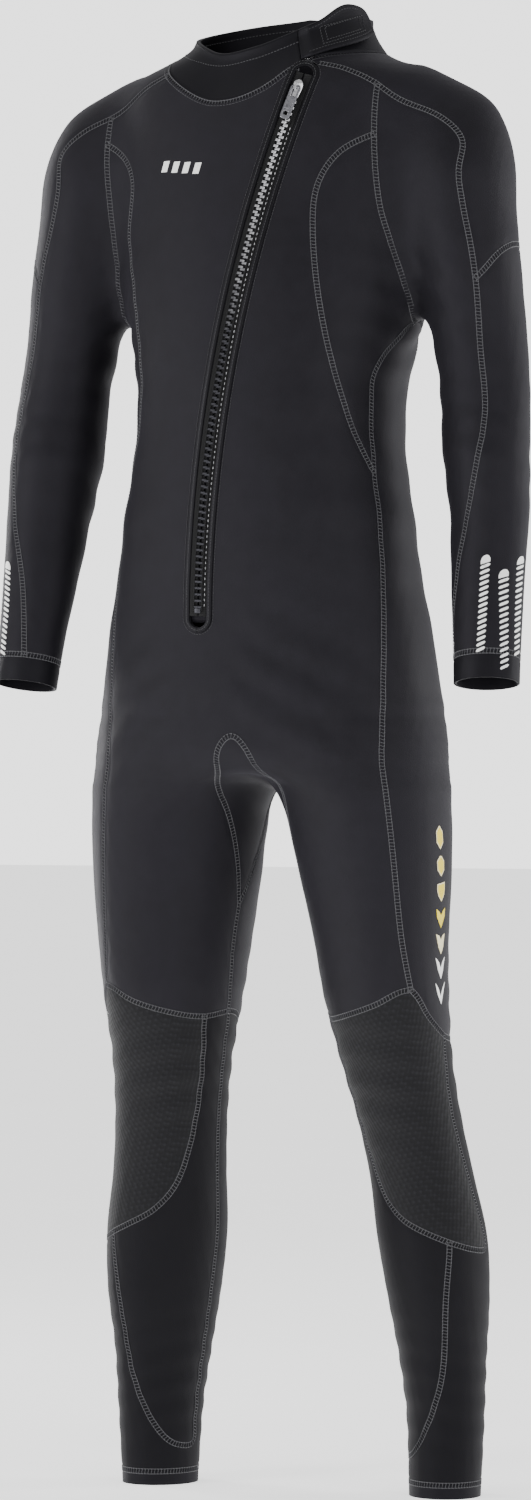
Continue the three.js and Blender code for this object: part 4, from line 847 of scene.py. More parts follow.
def jersey(name, dark, light, roughness, sheen, loop_mm, relief):
    """Knitted jersey on foam: fine loops, faint cloudy wear, and a nap that catches light."""
    material, tree, shader, place = new_material(
        name, Specular_IOR_Level=0.2, Sheen_Weight=sheen, Sheen_Roughness=0.45,
        Sheen_Tint=srgb("#b6b2c4"), Specular_Tint=srgb("#e2dfec"))
    cloud = add(tree, "ShaderNodeTexNoise", Vector=place, Scale=9.0, Detail=4.0, Roughness=0.6)
    wear = add(tree, "ShaderNodeTexNoise", Vector=place, Scale=70.0, Detail=3.0)
    loops = add(tree, "ShaderNodeTexVoronoi", Vector=place, Scale=1000 / loop_mm)
    both = add(tree, "ShaderNodeMath", {"operation": "MULTIPLY_ADD"},
               _0=wear.outputs[0], _1=0.35, _2=cloud.outputs[0])
    colour = tone(tree, both.outputs[0], dark, light, 0.45, 0.9)
    tree.links.new(colour, shader.inputs["Base Color"])
    rough = add(tree, "ShaderNodeMapRange", Value=cloud.outputs[0], From_Min=0.3, From_Max=0.7,
                To_Min=roughness - 0.06, To_Max=roughness + 0.06)
    tree.links.new(rough.outputs[0], shader.inputs["Roughness"])
    bump = add(tree, "ShaderNodeBump", Strength=relief, Distance=0.0003, Height=loops.outputs[0])
    tree.links.new(bump.outputs[0], shader.inputs["Normal"])
    return material


def embossed(name, dark, light):
    """Abrasion-resistant knit on the knees: small raised lozenges, coarser than a real 2 mm so they read."""
    material, tree, shader, place = new_material(
        name, Roughness=0.82, Specular_IOR_Level=0.22, Sheen_Weight=0.12, Sheen_Roughness=0.5)
    turned = add(tree, "ShaderNodeMapping", Vector=place, Rotation=(0.3, 0.2, 0.785))
    cells = add(tree, "ShaderNodeTexVoronoi", {"distance": "MANHATTAN"}, Vector=turned.outputs[0],
                Scale=230.0, Randomness=0.15)
    grain = add(tree, "ShaderNodeTexNoise", Vector=place, Scale=900.0, Detail=2.0)
    colour = tone(tree, cells.outputs[0], light, dark, 0.1, 0.75)
    tree.links.new(colour, shader.inputs["Base Color"])
    coarse = add(tree, "ShaderNodeBump", Strength=0.5, Distance=0.0006, Height=cells.outputs[0])
    coarse.invert = True
    fine = add(tree, "ShaderNodeBump", Strength=0.2, Distance=0.0002, Height=grain.outputs[0],
               Normal=coarse.outputs[0])
    tree.links.new(fine.outputs[0], shader.inputs["Normal"])
    return material


def thread(name, colour, roughness=0.7):
    """Twisted sewing thread: a slight sheen and tone change along each stitch."""
    material, tree, shader, place = new_material(
        name, Roughness=roughness, Specular_IOR_Level=0.3, Sheen_Weight=0.3)
    twist = add(tree, "ShaderNodeTexNoise", Vector=place, Scale=600.0, Detail=2.0)
    dark = [c * 0.7 for c in srgb(colour)[:3]] + [1]
    tree.links.new(tone(tree, twist.outputs[0], dark, srgb(colour)), shader.inputs["Base Color"])
    return material


def woven_tape(name, dark, light):
    """Woven zip tape: fine ribs across it."""
    material, tree, shader, place = new_material(
        name, Roughness=0.8, Specular_IOR_Level=0.25, Sheen_Weight=0.1)
    ribs = add(tree, "ShaderNodeTexWave", {"bands_direction": "Z"}, Vector=place, Scale=160.0,
               Distortion=0.6)
    tree.links.new(tone(tree, ribs.outputs[0], dark, light), shader.inputs["Base Color"])
    bump = add(tree, "ShaderNodeBump", Strength=0.4, Distance=0.0003, Height=ribs.outputs[0])
    tree.links.new(bump.outputs[0], shader.inputs["Normal"])
    return material


def metal(name, colour, dark, roughness):
    """Plated metal: bright, with fine scuffs that break up the shine."""
    material, tree, shader, place = new_material(name, Metallic=1.0)
    scuffs = add(tree, "ShaderNodeTexNoise", Vector=place, Scale=420.0, Detail=5.0)
    tree.links.new(tone(tree, scuffs.outputs[0], srgb(dark), srgb(colour), 0.3, 0.5),
                   shader.inputs["Base Color"])
    rough = add(tree, "ShaderNodeMapRange", Value=scuffs.outputs[0], To_Min=roughness - 0.06,
                To_Max=roughness + 0.08)
    tree.links.new(rough.outputs[0], shader.inputs["Roughness"])
    return material


def teeth_shaded_by_height(name, bright, painted_shade):
    """Plated teeth with painted light and shade: lighter near the collar and painted darker further down, by
    height alone, with faint speck noise.
    """
    material, tree, shader, place = new_material(name, Metallic=1.0, Roughness=0.34)
    # Painted shade: the colour runs from the dark tone below 1.22 m to the light one above 1.42 m by height,
    # plus faint speck noise.
    height = add(tree, "ShaderNodeSeparateXYZ", Vector=place).outputs["Z"]
    speck = add(tree, "ShaderNodeTexNoise", Vector=place, Scale=160.0, Detail=2.0)
    speck_and_height_shade = add(tree, "ShaderNodeMath", {"operation": "MULTIPLY_ADD"}, _0=speck.outputs[0],
                  _1=0.12, _2=height)
    tree.links.new(tone(tree, speck_and_height_shade.outputs[0], srgb(painted_shade), srgb(bright), 1.22, 1.42),
                   shader.inputs["Base Color"])
    return material


def printed(name, colour, worn):
    """A heat-pressed print: a smooth film with small worn spots."""
    material, tree, shader, place = new_material(name, Roughness=0.42, Specular_IOR_Level=0.4)
    spots = add(tree, "ShaderNodeTexNoise", Vector=place, Scale=500.0, Detail=3.0)
    tree.links.new(tone(tree, spots.outputs[0], srgb(worn), srgb(colour), 0.25, 0.4),
                   shader.inputs["Base Color"])
    return material


def pile(name, dark, light, scale):
    """Touch fastener: a field of tiny hooks or loops."""
    material, tree, shader, place = new_material(
        name, Roughness=0.9, Specular_IOR_Level=0.2, Sheen_Weight=0.4, Sheen_Roughness=0.6)
    dots = add(tree, "ShaderNodeTexVoronoi", Vector=place, Scale=scale, Randomness=0.3)
    tree.links.new(tone(tree, dots.outputs[0], srgb(light), srgb(dark), 0.2, 0.6),
                   shader.inputs["Base Color"])
    bump = add(tree, "ShaderNodeBump", Strength=0.7, Distance=0.0005, Height=dots.outputs[0])
    bump.invert = True
    tree.links.new(bump.outputs[0], shader.inputs["Normal"])
    return material


# Body jersey: charcoal black with a lilac-grey nap, the suit's main cloth.
BODY_JERSEY = jersey("body_jersey", srgb("#111013"), srgb("#19181c"), 0.6, 0.06, 1.1, 0.35)
# Lower legs: the same knit in a deeper, flatter black.
LEG_JERSEY = jersey("lower_leg_jersey", srgb("#050506"), srgb("#08080a"), 0.64, 0.02, 1.1, 0.3)
# Collar and hems: smooth dense jersey, a touch darker than the body.
COLLAR_JERSEY = jersey("collar_jersey", srgb("#0a0a0c"), srgb("#0f0e12"), 0.58, 0.03, 0.9, 0.25)
KNEE_KNIT = embossed("knee_knit", srgb("#0d0d10"), srgb("#1a1a1e"))
# Seam thread: mid grey, so the seams draw pale lines on the black.
SEAM_THREAD = thread("seam_thread", "#454549")
# Dark thread for the zip's borders and the patches.
DARK_THREAD = thread("dark_thread", "#222227")
# White marker thread beside the teeth.
WHITE_THREAD = thread("white_thread", "#c9c9cc")
TAPE = woven_tape("zip_tape_weave", srgb("#060607"), srgb("#0d0d0f"))
# Border: rubbery coated edging, smoother and a little shinier than the jersey.
BORDER = jersey("zip_border_edging", srgb("#060607"), srgb("#0a0a0b"), 0.45, 0.03, 0.8, 0.15)
# Teeth metal: its colour is painted light and shade by height, light near the collar and dark lower down.
TEETH_METAL = teeth_shaded_by_height("teeth_metal_shaded_by_height", "#c9c9cc", "#3c3c40")
SLIDER_METAL = metal("slider_metal", "#d4d4d6", "#a9a9ad", 0.16)
PULLER_METAL = metal("puller_metal", "#8d8d92", "#6a6a70", 0.26)
WHITE_PRINT = printed("white_print", "#f2f2f0", "#b9b9b8")
CREAM_PRINT = printed("cream_print", "#e9dfb4", "#b8ab7a")
YELLOW_PRINT = printed("yellow_print", "#e4cc10", "#a8920c")
LOOPS = pile("loop_pile", "#101013", "#26262b", 900.0)
HOOKS = pile("hook_pile", "#0b0b0d", "#1e1e22", 650.0)

# The panels that aren't body jersey: their material and their slot in the record.
CLOTHS = {
    "knee_panel": (KNEE_KNIT, "knee_neoprene"), "calf_panel": (LEG_JERSEY, "lower_leg_neoprene"),
    "shin_panel": (LEG_JERSEY, "lower_leg_neoprene"), "ankle_hem": (COLLAR_JERSEY, "collar_neoprene"),
    "wrist_hem": (COLLAR_JERSEY, "jersey_neoprene")}

CUT_FILL = 0.78                 # share of its rectangle that a cut piece covers


STRIP_WIDTHS = {"wrist_hem": WRIST_HEM * MM, "ankle_hem": ANKLE_HEM * MM}


def cut_size(name, solid):
    """What a neoprene piece is cut to: width and length in metres, and area in square metres."""
    area = sum(face.area for face in solid.data.polygons) / 2
    width = STRIP_WIDTHS.get(name.rpartition("_")[0])
    if width:
        return width, area / width, area
    corners = np.array([v.co for v in solid.data.vertices])
    length = float(np.ptp(corners, axis=0).max())
    return area / length / CUT_FILL, length, area


CUTS_OF_CLOTH = {name: cut_size(name, solid) for name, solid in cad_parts.items()}


def cut_sheet(obj, name):
    """Looks up the width, length and area a neoprene piece is cut to, flat, before it is stretched over the
    form; the piece is returned as it is.
    """
    width, length, area = CUTS_OF_CLOTH[name]
    return obj


# ------------------------------------------------------------------ repeated pieces
def stitch_tree():
    """Geometry nodes: sets a small shape along lines, standing on the surface they lie on."""
    tree = bpy.data.node_groups.new("shapes_along_lines", "GeometryNodeTree")
    face = tree.interface
    face.new_socket("Lines", in_out="INPUT", socket_type="NodeSocketGeometry")
    for name, kind in (("Pitch", "Float"), ("Shape", "Object"), ("Size", "Float"), ("Finish", "Material")):
        face.new_socket(name, in_out="INPUT", socket_type=f"NodeSocket{kind}")
    face.new_socket("Geometry", in_out="OUTPUT", socket_type="NodeSocketGeometry")
    inputs = add(tree, "NodeGroupInput").outputs
    curve = add(tree, "GeometryNodeMeshToCurve", Mesh=inputs["Lines"])
    even = add(tree, "GeometryNodeResampleCurve", {"mode": "LENGTH"}, Curve=curve.outputs[0],
               Length=inputs["Pitch"])
    out = add(tree, "GeometryNodeInputNamedAttribute", {"data_type": "FLOAT_VECTOR"}, Name="out")
    along = add(tree, "GeometryNodeInputTangent")
    turn = add(tree, "FunctionNodeAxesToRotation", {"primary_axis": "Z", "secondary_axis": "X"},
               _0=out.outputs[0], _1=along.outputs[0])
    shape = add(tree, "GeometryNodeObjectInfo", Object=inputs["Shape"])
    put = add(tree, "GeometryNodeInstanceOnPoints", Points=even.outputs[0],
              Instance=shape.outputs["Geometry"], Rotation=turn.outputs[0])
    tree.links.new(inputs["Size"], put.inputs["Scale"])
    real = add(tree, "GeometryNodeRealizeInstances", Geometry=put.outputs[0])
    painted = add(tree, "GeometryNodeSetMaterial", Geometry=real.outputs[0], Material=inputs["Finish"])
    output = add(tree, "NodeGroupOutput")
    tree.links.new(painted.outputs[0], output.inputs[0])
    return tree


STITCHES = stitch_tree()


def along_lines(name, lines, shape, pitch, material, size=1.0):
    """Repeats a shape along lines, each a pair of arrays: points and outward directions."""
    mesh = bpy.data.meshes.new(name)
    points = np.concatenate([line[0] for line in lines])
    out = np.concatenate([line[1] for line in lines])
    edges, start = [], 0
    for line, _ in lines:
        edges += [(start + k, start + k + 1) for k in range(len(line) - 1)]
        start += len(line)
    mesh.from_pydata((points * MM).tolist(), edges, [])
    attribute = mesh.attributes.new("out", "FLOAT_VECTOR", "POINT")
    attribute.data.foreach_set("vector", out.astype(np.float32).ravel())
    source = bpy.data.objects.new(name + "_lines", mesh)
    bpy.context.scene.collection.objects.link(source)
    modifier = source.modifiers.new("repeat", "NODES")
    values = {"Pitch": pitch * MM, "Shape": shape, "Size": size, "Finish": material}
    modifier.node_group = STITCHES
    for item in STITCHES.interface.items_tree:
        if item.in_out == "INPUT" and item.name in values:
            modifier[item.identifier] = values[item.name]
    source.update_tag()
    bpy.context.view_layer.update()
    evaluated = source.evaluated_get(bpy.context.evaluated_depsgraph_get())
    result = bpy.data.meshes.new_from_object(evaluated)
    result.name = name
    obj = bpy.data.objects.new(name, result)
    bpy.context.scene.collection.objects.link(obj)
    bpy.data.objects.remove(source)
    return obj


def roof(length, width, height, x=0.0, y=0.0, turn=0.0):
    """One short raised thread: a ridge with sloping sides, as points and faces."""
    c, s = math.cos(turn), math.sin(turn)
    flat = [(-length / 2, -width / 2, 0), (length / 2, -width / 2, 0), (length / 2, width / 2, 0),
            (-length / 2, width / 2, 0), (-length * 0.36, 0, height), (length * 0.36, 0, height)]
    points = [(x + c * u - s * v, y + s * u + c * v, w) for u, v, w in flat]
    return points, [(0, 1, 5, 4), (2, 3, 4, 5), (1, 2, 5), (3, 0, 4), (3, 2, 1, 0)]


def unit_shape(name, parts):
    vertices, faces = [], []
    for points, sides in parts:
        faces += [tuple(len(vertices) + k for k in side) for side in sides]
        vertices += points
    return new_object(name, vertices, faces, smooth=False)


# Three threads of a flatlock seam over one pitch: an edge each side and a rung between.
LADDER = unit_shape("ladder_shape", [
    roof(3.0, 0.95, 0.55, y=2.5), roof(3.0, 0.95, 0.55, y=-2.5),
    roof(5.2, 0.7, 0.4, turn=math.radians(78))])
DASH = unit_shape("dash_shape", [roof(2.2, 0.75, 0.45)])


def surface_line(points, lift=0.2, sunk=0.0):
    """A line laid on the suit's outer face, and its outward directions."""
    points = settle(points, 3)
    out = unit(slope_at(points))
    return dressed(points, out) + out * (lift - sunk), out


def dressed(points, out):
    """Points of the plain form moved out to where the folds put them, flat beside the zip."""
    _, side, _ = zip_coordinates(points)
    beside = np.clip((np.abs(side) - 22) / 40, 0, 1)
    beside = np.where((points[..., 1] < 20) & (points[..., 2] > 820), beside, 1)
    hem = np.clip((points[..., 2] - 5) / 40, 0, 1)
    return points + out * (fold_height(points) * beside * hem)[..., None]


# ------------------------------------------------------------------ panels and seams
PINCH = 0.9                     # how far a seam draws the cloth in


def seam_edges(skin):
    """Edges between two panels, and those round the neck."""
    pair, left, right = shared_edges(skin["triangles"])
    label = skin["label"]
    a, b = label[left], label[right]
    between = (a != b) & (a != "waste") & (b != "waste")
    rim = (a == "waste") != (b == "waste")
    middle = skin["points"][pair].mean(1)
    neck = rim & (middle[:, 2] > 1380) & (np.abs(above_neckline(middle)) < 3)
    return pair[between], pair[neck]


def pinch_depth(points, seam_points):
    tree = KDTree(len(seam_points))
    for i, p in enumerate(seam_points):
        tree.insert(p, i)
    tree.balance()
    near = np.array([tree.find(p)[2] for p in points])
    return PINCH * np.exp(-(near / 3.2) ** 2)


def panel_object(name, points, normals, faces):
    """A closed sheet: the outer face, the inner one, and the walls round the edge."""
    used, index = np.unique(faces, return_inverse=True)
    faces = index.reshape(-1, 3)
    outer, out = points[used], normals[used]
    level = out.copy()
    level[np.abs(outer[:, 2]) < 0.5, 2] = 0
    inner = outer - unit(level) * THICKNESS
    count = len(used)
    directed = edges_of(faces)
    known = {tuple(e) for e in directed.tolist()}
    rim = [(a, b) for a, b in directed.tolist() if (b, a) not in known]
    walls = [(b, a, a + count, b + count) for a, b in rim]
    solid = faces.tolist() + (faces[:, ::-1] + count).tolist() + walls
    stem = name.replace("_left", "").replace("_right", "")
    material, slot = CLOTHS.get(stem, (BODY_JERSEY, "jersey_neoprene"))
    obj = new_object(name + "_cloth", np.concatenate([outer, inner]), solid, material,
                     normals=np.concatenate([out, -out]))
    return cut_sheet(finish_piece(obj, slot, name), name)


def build_panels(skin):
    keep = skin["label"] != "waste"
    triangles, label = skin["triangles"][keep], skin["label"][keep]
    points = skin["points"]
    used = np.unique(triangles)
    between, _ = seam_edges(skin)
    out = np.zeros_like(points)
    out[used] = unit(slope_at(points[used]))
    moved = points.copy()
    moved[used] = dressed(points[used], out[used])
    seam_points = points[np.unique(between)]
    moved[used] -= out[used] * pinch_depth(points[used], seam_points)[:, None]
    normals = area_normals(moved, triangles)
    for name in np.unique(label):
        panel_object(name, moved, normals, triangles[label == name])


def stitch_seams(skin):
    between, neck = seam_edges(skin)
    groups = {"upper": [], "lower": []}
    for edges in (between, neck):
        for chain in chains_of(edges):
            line = smoothed(skin["points"][chain])
            if len(line) < 4:
                continue
            part = "upper" if line[:, 2].mean() > 780 else "lower"
            groups[part].append(surface_line(line, lift=0.1, sunk=PINCH * 0.45))
    for part, lines in groups.items():
        obj = along_lines(f"seam_stitches_{part}", lines, LADDER, 3.3, SEAM_THREAD)
        finish_piece(obj, "jersey_neoprene")


# ------------------------------------------------------------------ collar
RIM = [[-180, 1489], [-135, 1482], [-90, 1467], [-60, 1455], [-30, 1442], [0, 1447], [20, 1456],
       [45, 1470], [70, 1476], [110, 1480], [180, 1489]]
RIM_SIDE, RIM_FRONT, RIM_BACK = 90, 77, 70
BAND_START, BAND_END, FLAP_END = 38, 391, 82
FLAP_TOP = [[31, 1462], [45, 1472], [58, 1486], [66, 1489], [76, 1485], [84, 1472]]
FLAP_BOTTOM = [[31, 1431], [45, 1440], [60, 1448], [72, 1455], [84, 1464]]
FLAP_STANDOFF = 4.4


def turn_back(angle):
    return np.where(np.asarray(angle) > 180, np.asarray(angle) - 360, angle)


class Neck:
    """The neckline as radius and height for each angle round the neck."""

    def __init__(self, skin):
        _, edges = seam_edges(skin)
        points = skin["points"][np.unique(edges)]
        angle = neck_angle(points)
        order = np.argsort(angle)
        self.angle = angle[order]
        self.radius = np.hypot(*(points[order, :2] - NECK).T)
        self.height = points[order, 2]

    def base(self, angle):
        at = turn_back(angle)
        return (np.interp(at, self.angle, self.radius, period=360),
                np.interp(at, self.angle, self.height, period=360))

    def collar_radius(self, angle, height):
        base_radius, base_height = self.base(angle)
        top = value_at(RIM, turn_back(angle))
        t = np.radians(angle)
        depth = np.where(np.cos(t) > 0, RIM_FRONT, RIM_BACK)
        rim = 1 / np.hypot(np.sin(t) / RIM_SIDE, np.cos(t) / depth)
        rise = np.clip((height - base_height) / (top - base_height), 0, 1)
        return rim + (base_radius - rim) * (1 - rise) ** 1.6


def around_neck(angle, radius, height):
    t = np.radians(angle)
    angle, radius, height = np.broadcast_arrays(t, radius, height)
    return np.stack([NECK[0] + radius * np.sin(t), NECK[1] - radius * np.cos(t), height], -1)


def edge_bulge(distance, width=5.5, rise=1.0):
    """The bound edge of the collar, a little thicker than the rest."""
    return rise / (1 + np.exp((distance - width) * 1.6))


def sheet_profile(radius_at, low, high, thickness, bound_low):
    """A closed ring round a cross-section of the collar: pairs of radius and height."""
    heights = np.concatenate([low + (high - low) * np.linspace(0, 0.55, 6),
                              high - (high - low) * 0.45 * (1 - np.linspace(0, 1, 9)[1:]) ** 1.5])
    heights[-1] = high - thickness / 2
    bulge = edge_bulge(high - heights)
    if bound_low:
        bulge = bulge + edge_bulge(heights - low)
    outer = radius_at(heights) + bulge
    inner = radius_at(heights) - thickness - bulge * 0.6
    arc = np.radians([30, 60, 90, 120, 150])
    half = (outer[-1] - inner[-1]) / 2
    top = [(radius_at(high) - thickness / 2 + half * math.cos(a),
            high - thickness / 2 + thickness / 2 * math.sin(a)) for a in arc]
    ring = list(zip(outer, heights)) + top + list(zip(inner[::-1], heights[::-1]))
    if bound_low:
        ring += [(radius_at(low) - thickness * 0.7, low - 1.2), (radius_at(low) - thickness * 0.3, low - 1.2)]
    return np.array(ring)


def collar_band(neck):
    rings = []
    for angle in np.linspace(BAND_START, BAND_END, 190):
        low = neck.base(angle)[1] + 0.4
        high = float(value_at(RIM, turn_back(angle)))
        ring = sheet_profile(lambda h: neck.collar_radius(angle, h), float(low), high, THICKNESS, False)
        rings.append(around_neck(angle, ring[:, 0], ring[:, 1]))
    obj = loft("collar_band_cloth", rings, COLLAR_JERSEY)
    return cut_sheet(finish_piece(obj, "collar_neoprene", "collar_band"), "collar_band")


def flap_inner(neck, angle, height):
    root = BAND_END - 360
    t = np.clip((angle - root) / (BAND_START - root), 0, 1)
    over = t * t * (3 - 2 * t)
    return neck.collar_radius(angle, height) - THICKNESS + (THICKNESS + FLAP_STANDOFF) * over


def collar_flap(neck):
    rings = []
    for angle in np.linspace(BAND_END - 360 + 0.1, FLAP_END, 70):
        low, high = float(value_at(FLAP_BOTTOM, angle)), float(value_at(FLAP_TOP, angle))
        ring = sheet_profile(lambda h: flap_inner(neck, angle, h) + THICKNESS, low, high, THICKNESS, True)
        rings.append(around_neck(angle, ring[:, 0], ring[:, 1]))
    obj = loft("collar_flap_cloth", rings, COLLAR_JERSEY)
    start = around_neck(31.2, neck.collar_radius(31.2, 1446) - 1.5, 1446) * MM
    end = around_neck(36.5, neck.collar_radius(36.5, 1449) - 1.5, 1449) * MM
    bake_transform(obj)
    return cut_sheet(finish_piece(obj, "collar_neoprene", "collar_flap", body=None), "collar_flap")


def neck_line(neck, angles, heights, radius_at, lift):
    points = around_neck(angles, radius_at(angles, heights) + lift, heights)
    t = np.radians(angles)
    return points, np.stack([np.sin(t), -np.cos(t), np.zeros_like(t)], -1) * (1 if lift > 0 else -1)


def collar_stitches(neck):
    """Hem stitching under the rim, outside and inside; the patches on the flap are stitched in flap_stitches.
    """
    angles = np.linspace(BAND_START + 46, BAND_END - 1, 240)
    heights = value_at(RIM, turn_back(angles)) - 13
    front = [neck_line(neck, angles, heights, neck.collar_radius, 0.15)]
    inside = np.linspace(BAND_START + 4, BAND_END - 4, 240)
    heights = value_at(RIM, turn_back(inside)) - 9
    front.append(neck_line(neck, inside, heights, neck.collar_radius, -THICKNESS - 0.2))
    obj = along_lines("collar_hem_stitches", front, DASH, 3.4, SEAM_THREAD)
    finish_piece(obj, "collar_neoprene")


def patch_loop(neck, inset, first, last):
    """A stitched rectangle on the flap, slanted with it."""
    low = [np.array([a, value_at(FLAP_BOTTOM, a) + inset]) for a in (first, last)]
    high = [np.array([a, value_at(FLAP_TOP, a) - inset]) for a in (first, last)]
    corners = [low[0], low[1], high[1], high[0], low[0]]
    line = np.concatenate([np.linspace(a, b, 14)[:-1] for a, b in zip(corners, corners[1:])] + [corners[-1:]])
    outer = lambda a, h: flap_inner(neck, a, h) + THICKNESS
    return neck_line(neck, line[:, 0], line[:, 1], outer, 0.3)


def flap_stitches(neck):
    lines = [patch_loop(neck, 7, 44, 75), patch_loop(neck, 10, 47, 72)]
    edge = np.linspace(36, 79, 60)
    outer = lambda a, h: flap_inner(neck, a, h) + THICKNESS
    for table, inward in ((FLAP_TOP, -4.2), (FLAP_BOTTOM, 4.2)):
        lines.append(neck_line(neck, edge, value_at(table, edge) + inward, outer, 0.75))
    obj = along_lines("flap_stitches", lines, DASH, 3.2, DARK_THREAD)
    return finish_piece(obj, "collar_neoprene", body="collar_flap")


def touch_patch(neck, name, standoff, material, slot, body):
    rings = []
    for angle in np.linspace(48, 75, 24):
        top = min(float(value_at(FLAP_TOP, angle)), float(value_at(RIM, angle)))
        middle = (float(value_at(FLAP_BOTTOM, angle)) + top) / 2
        heights = middle + 9 * np.linspace(-1, 1, 7)
        radius = neck.collar_radius(angle, heights) + standoff
        ring = np.concatenate([np.stack([radius + 1, heights], 1), np.stack([radius, heights], 1)[::-1]])
        rings.append(around_neck(angle, ring[:, 0], ring[:, 1]))
    return finish_piece(loft(name + "_pile", rings, material), slot, name, body=body)


# ------------------------------------------------------------------ zip
def skin_over(down, side):
    """Height of the suit's face over the zip's own surface."""
    low, high = np.full(np.shape(down), -12.0), np.full(np.shape(down), 12.0)
    for _ in range(14):
        middle = (low + high) / 2
        outside = body_distance(zip_point(down, side, middle)) > 0
        low, high = np.where(outside, low, middle), np.where(outside, middle, high)
    return low


def along_zip(name, start, end, profile, material, count=160, on_skin=False):
    """A closed strip along the zip with one cross-section: pairs of side and height."""
    down = np.linspace(start, end, count)[:, None] * np.ones(len(profile))
    side = np.broadcast_to(profile[:, 0], down.shape)
    height = np.broadcast_to(profile[:, 1], down.shape)
    lift = skin_over(down, side) if on_skin else 0
    return loft(name, zip_point(down, side, height + lift), material)


def stadium(radius, half, top, bottom):
    """Half of the line round the zip at one distance: from above it to below it, on one side."""
    turn = np.radians(np.linspace(0, 90, 16))
    start = np.stack([top - radius * np.cos(turn), radius * np.sin(turn)], 1)
    run = np.stack([np.linspace(top, bottom, 130)[1:-1], np.full(128, radius)], 1)
    end = np.stack([bottom + radius * np.sin(turn), radius * np.cos(turn)], 1)
    return np.concatenate([start, run, end]) * [1, half]


GARAGE_TOP, SLOT_END = 3.0, ZIP_LENGTH - SLOT_HALF
ZIP_LEFT = 1.0 if zip_point(100, 10, 0)[0] > zip_point(100, 0, 0)[0] else -1.0


def zip_border(name, half):
    path = stadium(12.1, half, GARAGE_TOP, SLOT_END)
    along = unit(np.gradient(path, axis=0))
    across = np.stack([along[:, 1], -along[:, 0]], 1)
    profile = round_profile(5.4, 1.9, 0.9)
    place = path[:, None] + across[:, None] * profile[None, :, :1]
    lift = skin_over(place[..., 0], place[..., 1])
    rings = zip_point(place[..., 0], place[..., 1], lift + profile[:, 1] + 0.75)
    return finish_piece(loft(name + "_edging", rings, BORDER), "zip_border", name)


def zip_line(path, lift, on_skin=True):
    over = skin_over(path[:, 0], path[:, 1]) if on_skin else 0
    points = zip_point(path[:, 0], path[:, 1], over + lift)
    out = unit(zip_point(path[:, 0], path[:, 1], 10.0) - zip_point(path[:, 0], path[:, 1], 0.0))
    return points, out


def tooth_shape():
    """One moulded tooth: a broad root and a narrower rounded head reaching over the middle."""
    outline = [(-1.35, 3.7), (1.35, 3.7), (1.35, 1.4), (1.55, 0.2), (1.0, -1.2), (-1.0, -1.2),
               (-1.55, 0.2), (-1.35, 1.4)]
    vertices = [(x, y, 0.0) for x, y in outline] + [(x, y, 1.1) for x, y in outline]
    vertices += [(x * 0.6, y * 0.72 + 0.5, 1.7) for x, y in outline]
    faces = []
    n = len(outline)
    for layer in (0, 1):
        for k in range(n):
            a, b = layer * n + k, layer * n + (k + 1) % n
            faces.append((a, b, b + n, a + n))
    faces += [tuple(range(n))[::-1], tuple(range(2 * n, 3 * n))]
    return new_object("tooth_shape", vertices, outward(vertices, faces), smooth=False)


def zip_teeth():
    tooth = tooth_shape()
    for name, side, start in (("left", ZIP_LEFT, 27.0), ("right", -ZIP_LEFT, 30.1)):
        down = np.linspace(start, ZIP_LENGTH - 20, 400)
        run = down if side > 0 else down[::-1]
        points, out = zip_line(np.stack([run, np.zeros_like(run)], 1), 0.1, on_skin=False)
        obj = along_lines(f"zip_teeth_{name}_row", [(points, out)], tooth, 6.2, TEETH_METAL)
        finish_piece(obj, "zip_metal", f"zip_teeth_{name}")
    bpy.data.objects.remove(tooth)


def zip_tapes():
    for name, side in (("left", ZIP_LEFT), ("right", -ZIP_LEFT)):
        profile = round_profile(8.0, 1.4, 0.5, 2) + [side * 4.95, -0.9]
        obj = along_zip(f"zip_tape_{name}_weave", 2, ZIP_LENGTH - 11, profile, TAPE)
        finish_piece(obj, "zip_tape", f"zip_tape_{name}")
    cord = round_profile(1.5, 1.3, 0.6, 2)
    for name, side in (("left", 1), ("right", -1)):
        obj = along_zip(f"zip_cord_{name}", 26, ZIP_LENGTH - 16, cord + [side * 4.3, 0.45], TAPE)
        finish_piece(obj, "zip_tape")


def zip_stitches():
    """Rows of stitching round the zip, and the pale marker row beside the teeth."""
    rows = []
    for half in (1, -1):
        for radius, lift in ((12.1, 1.75), (16.4, 0.1)):
            rows.append(zip_line(stadium(radius, half, GARAGE_TOP, SLOT_END), lift))
    obj = along_lines("zip_border_stitches", rows, DASH, 3.0, DARK_THREAD)
    finish_piece(obj, "zip_border")
    down = np.linspace(60, ZIP_LENGTH - 22, 300)
    row = zip_line(np.stack([down, np.full_like(down, ZIP_LEFT * 6.6)], 1), -0.15, on_skin=False)
    obj = along_lines("zip_marker_stitches", [row], DASH, 5.2, WHITE_THREAD)
    finish_piece(obj, "zip_tape")


def zip_backing():
    side = np.array([-13, -11.5, -10, -8, -7, 0, 7, 8, 10, 11.5, 13], float)
    down = np.linspace(10, ZIP_LENGTH - 4, 120)[:, None] * np.ones(len(side))
    across = np.broadcast_to(side, down.shape)
    beside = skin_over(down, across) - THICKNESS - 0.6
    top = np.where(np.abs(across) > 8.5, beside, -4.9)
    outer, inner = zip_point(down, across, top), zip_point(down, across, top - 1.0)
    rings = np.concatenate([outer, inner[:, ::-1]], 1)
    obj = loft("zip_backing_cloth", rings, BODY_JERSEY)
    cut_sheet(finish_piece(obj, "jersey_neoprene", "zip_backing_flap"), "zip_backing_flap")


def zip_stop():
    end = ZIP_LENGTH - 14
    profile = round_profile(6.4, 1.6, 0.5) + [0, 0.9]
    # Its teeth metal is painted by height: this low block gets the painted shade tone throughout.
    finish_piece(along_zip("zip_stop_block", end - 5, end, profile, TEETH_METAL, 6), "zip_metal",
                 "zip_bottom_stop")


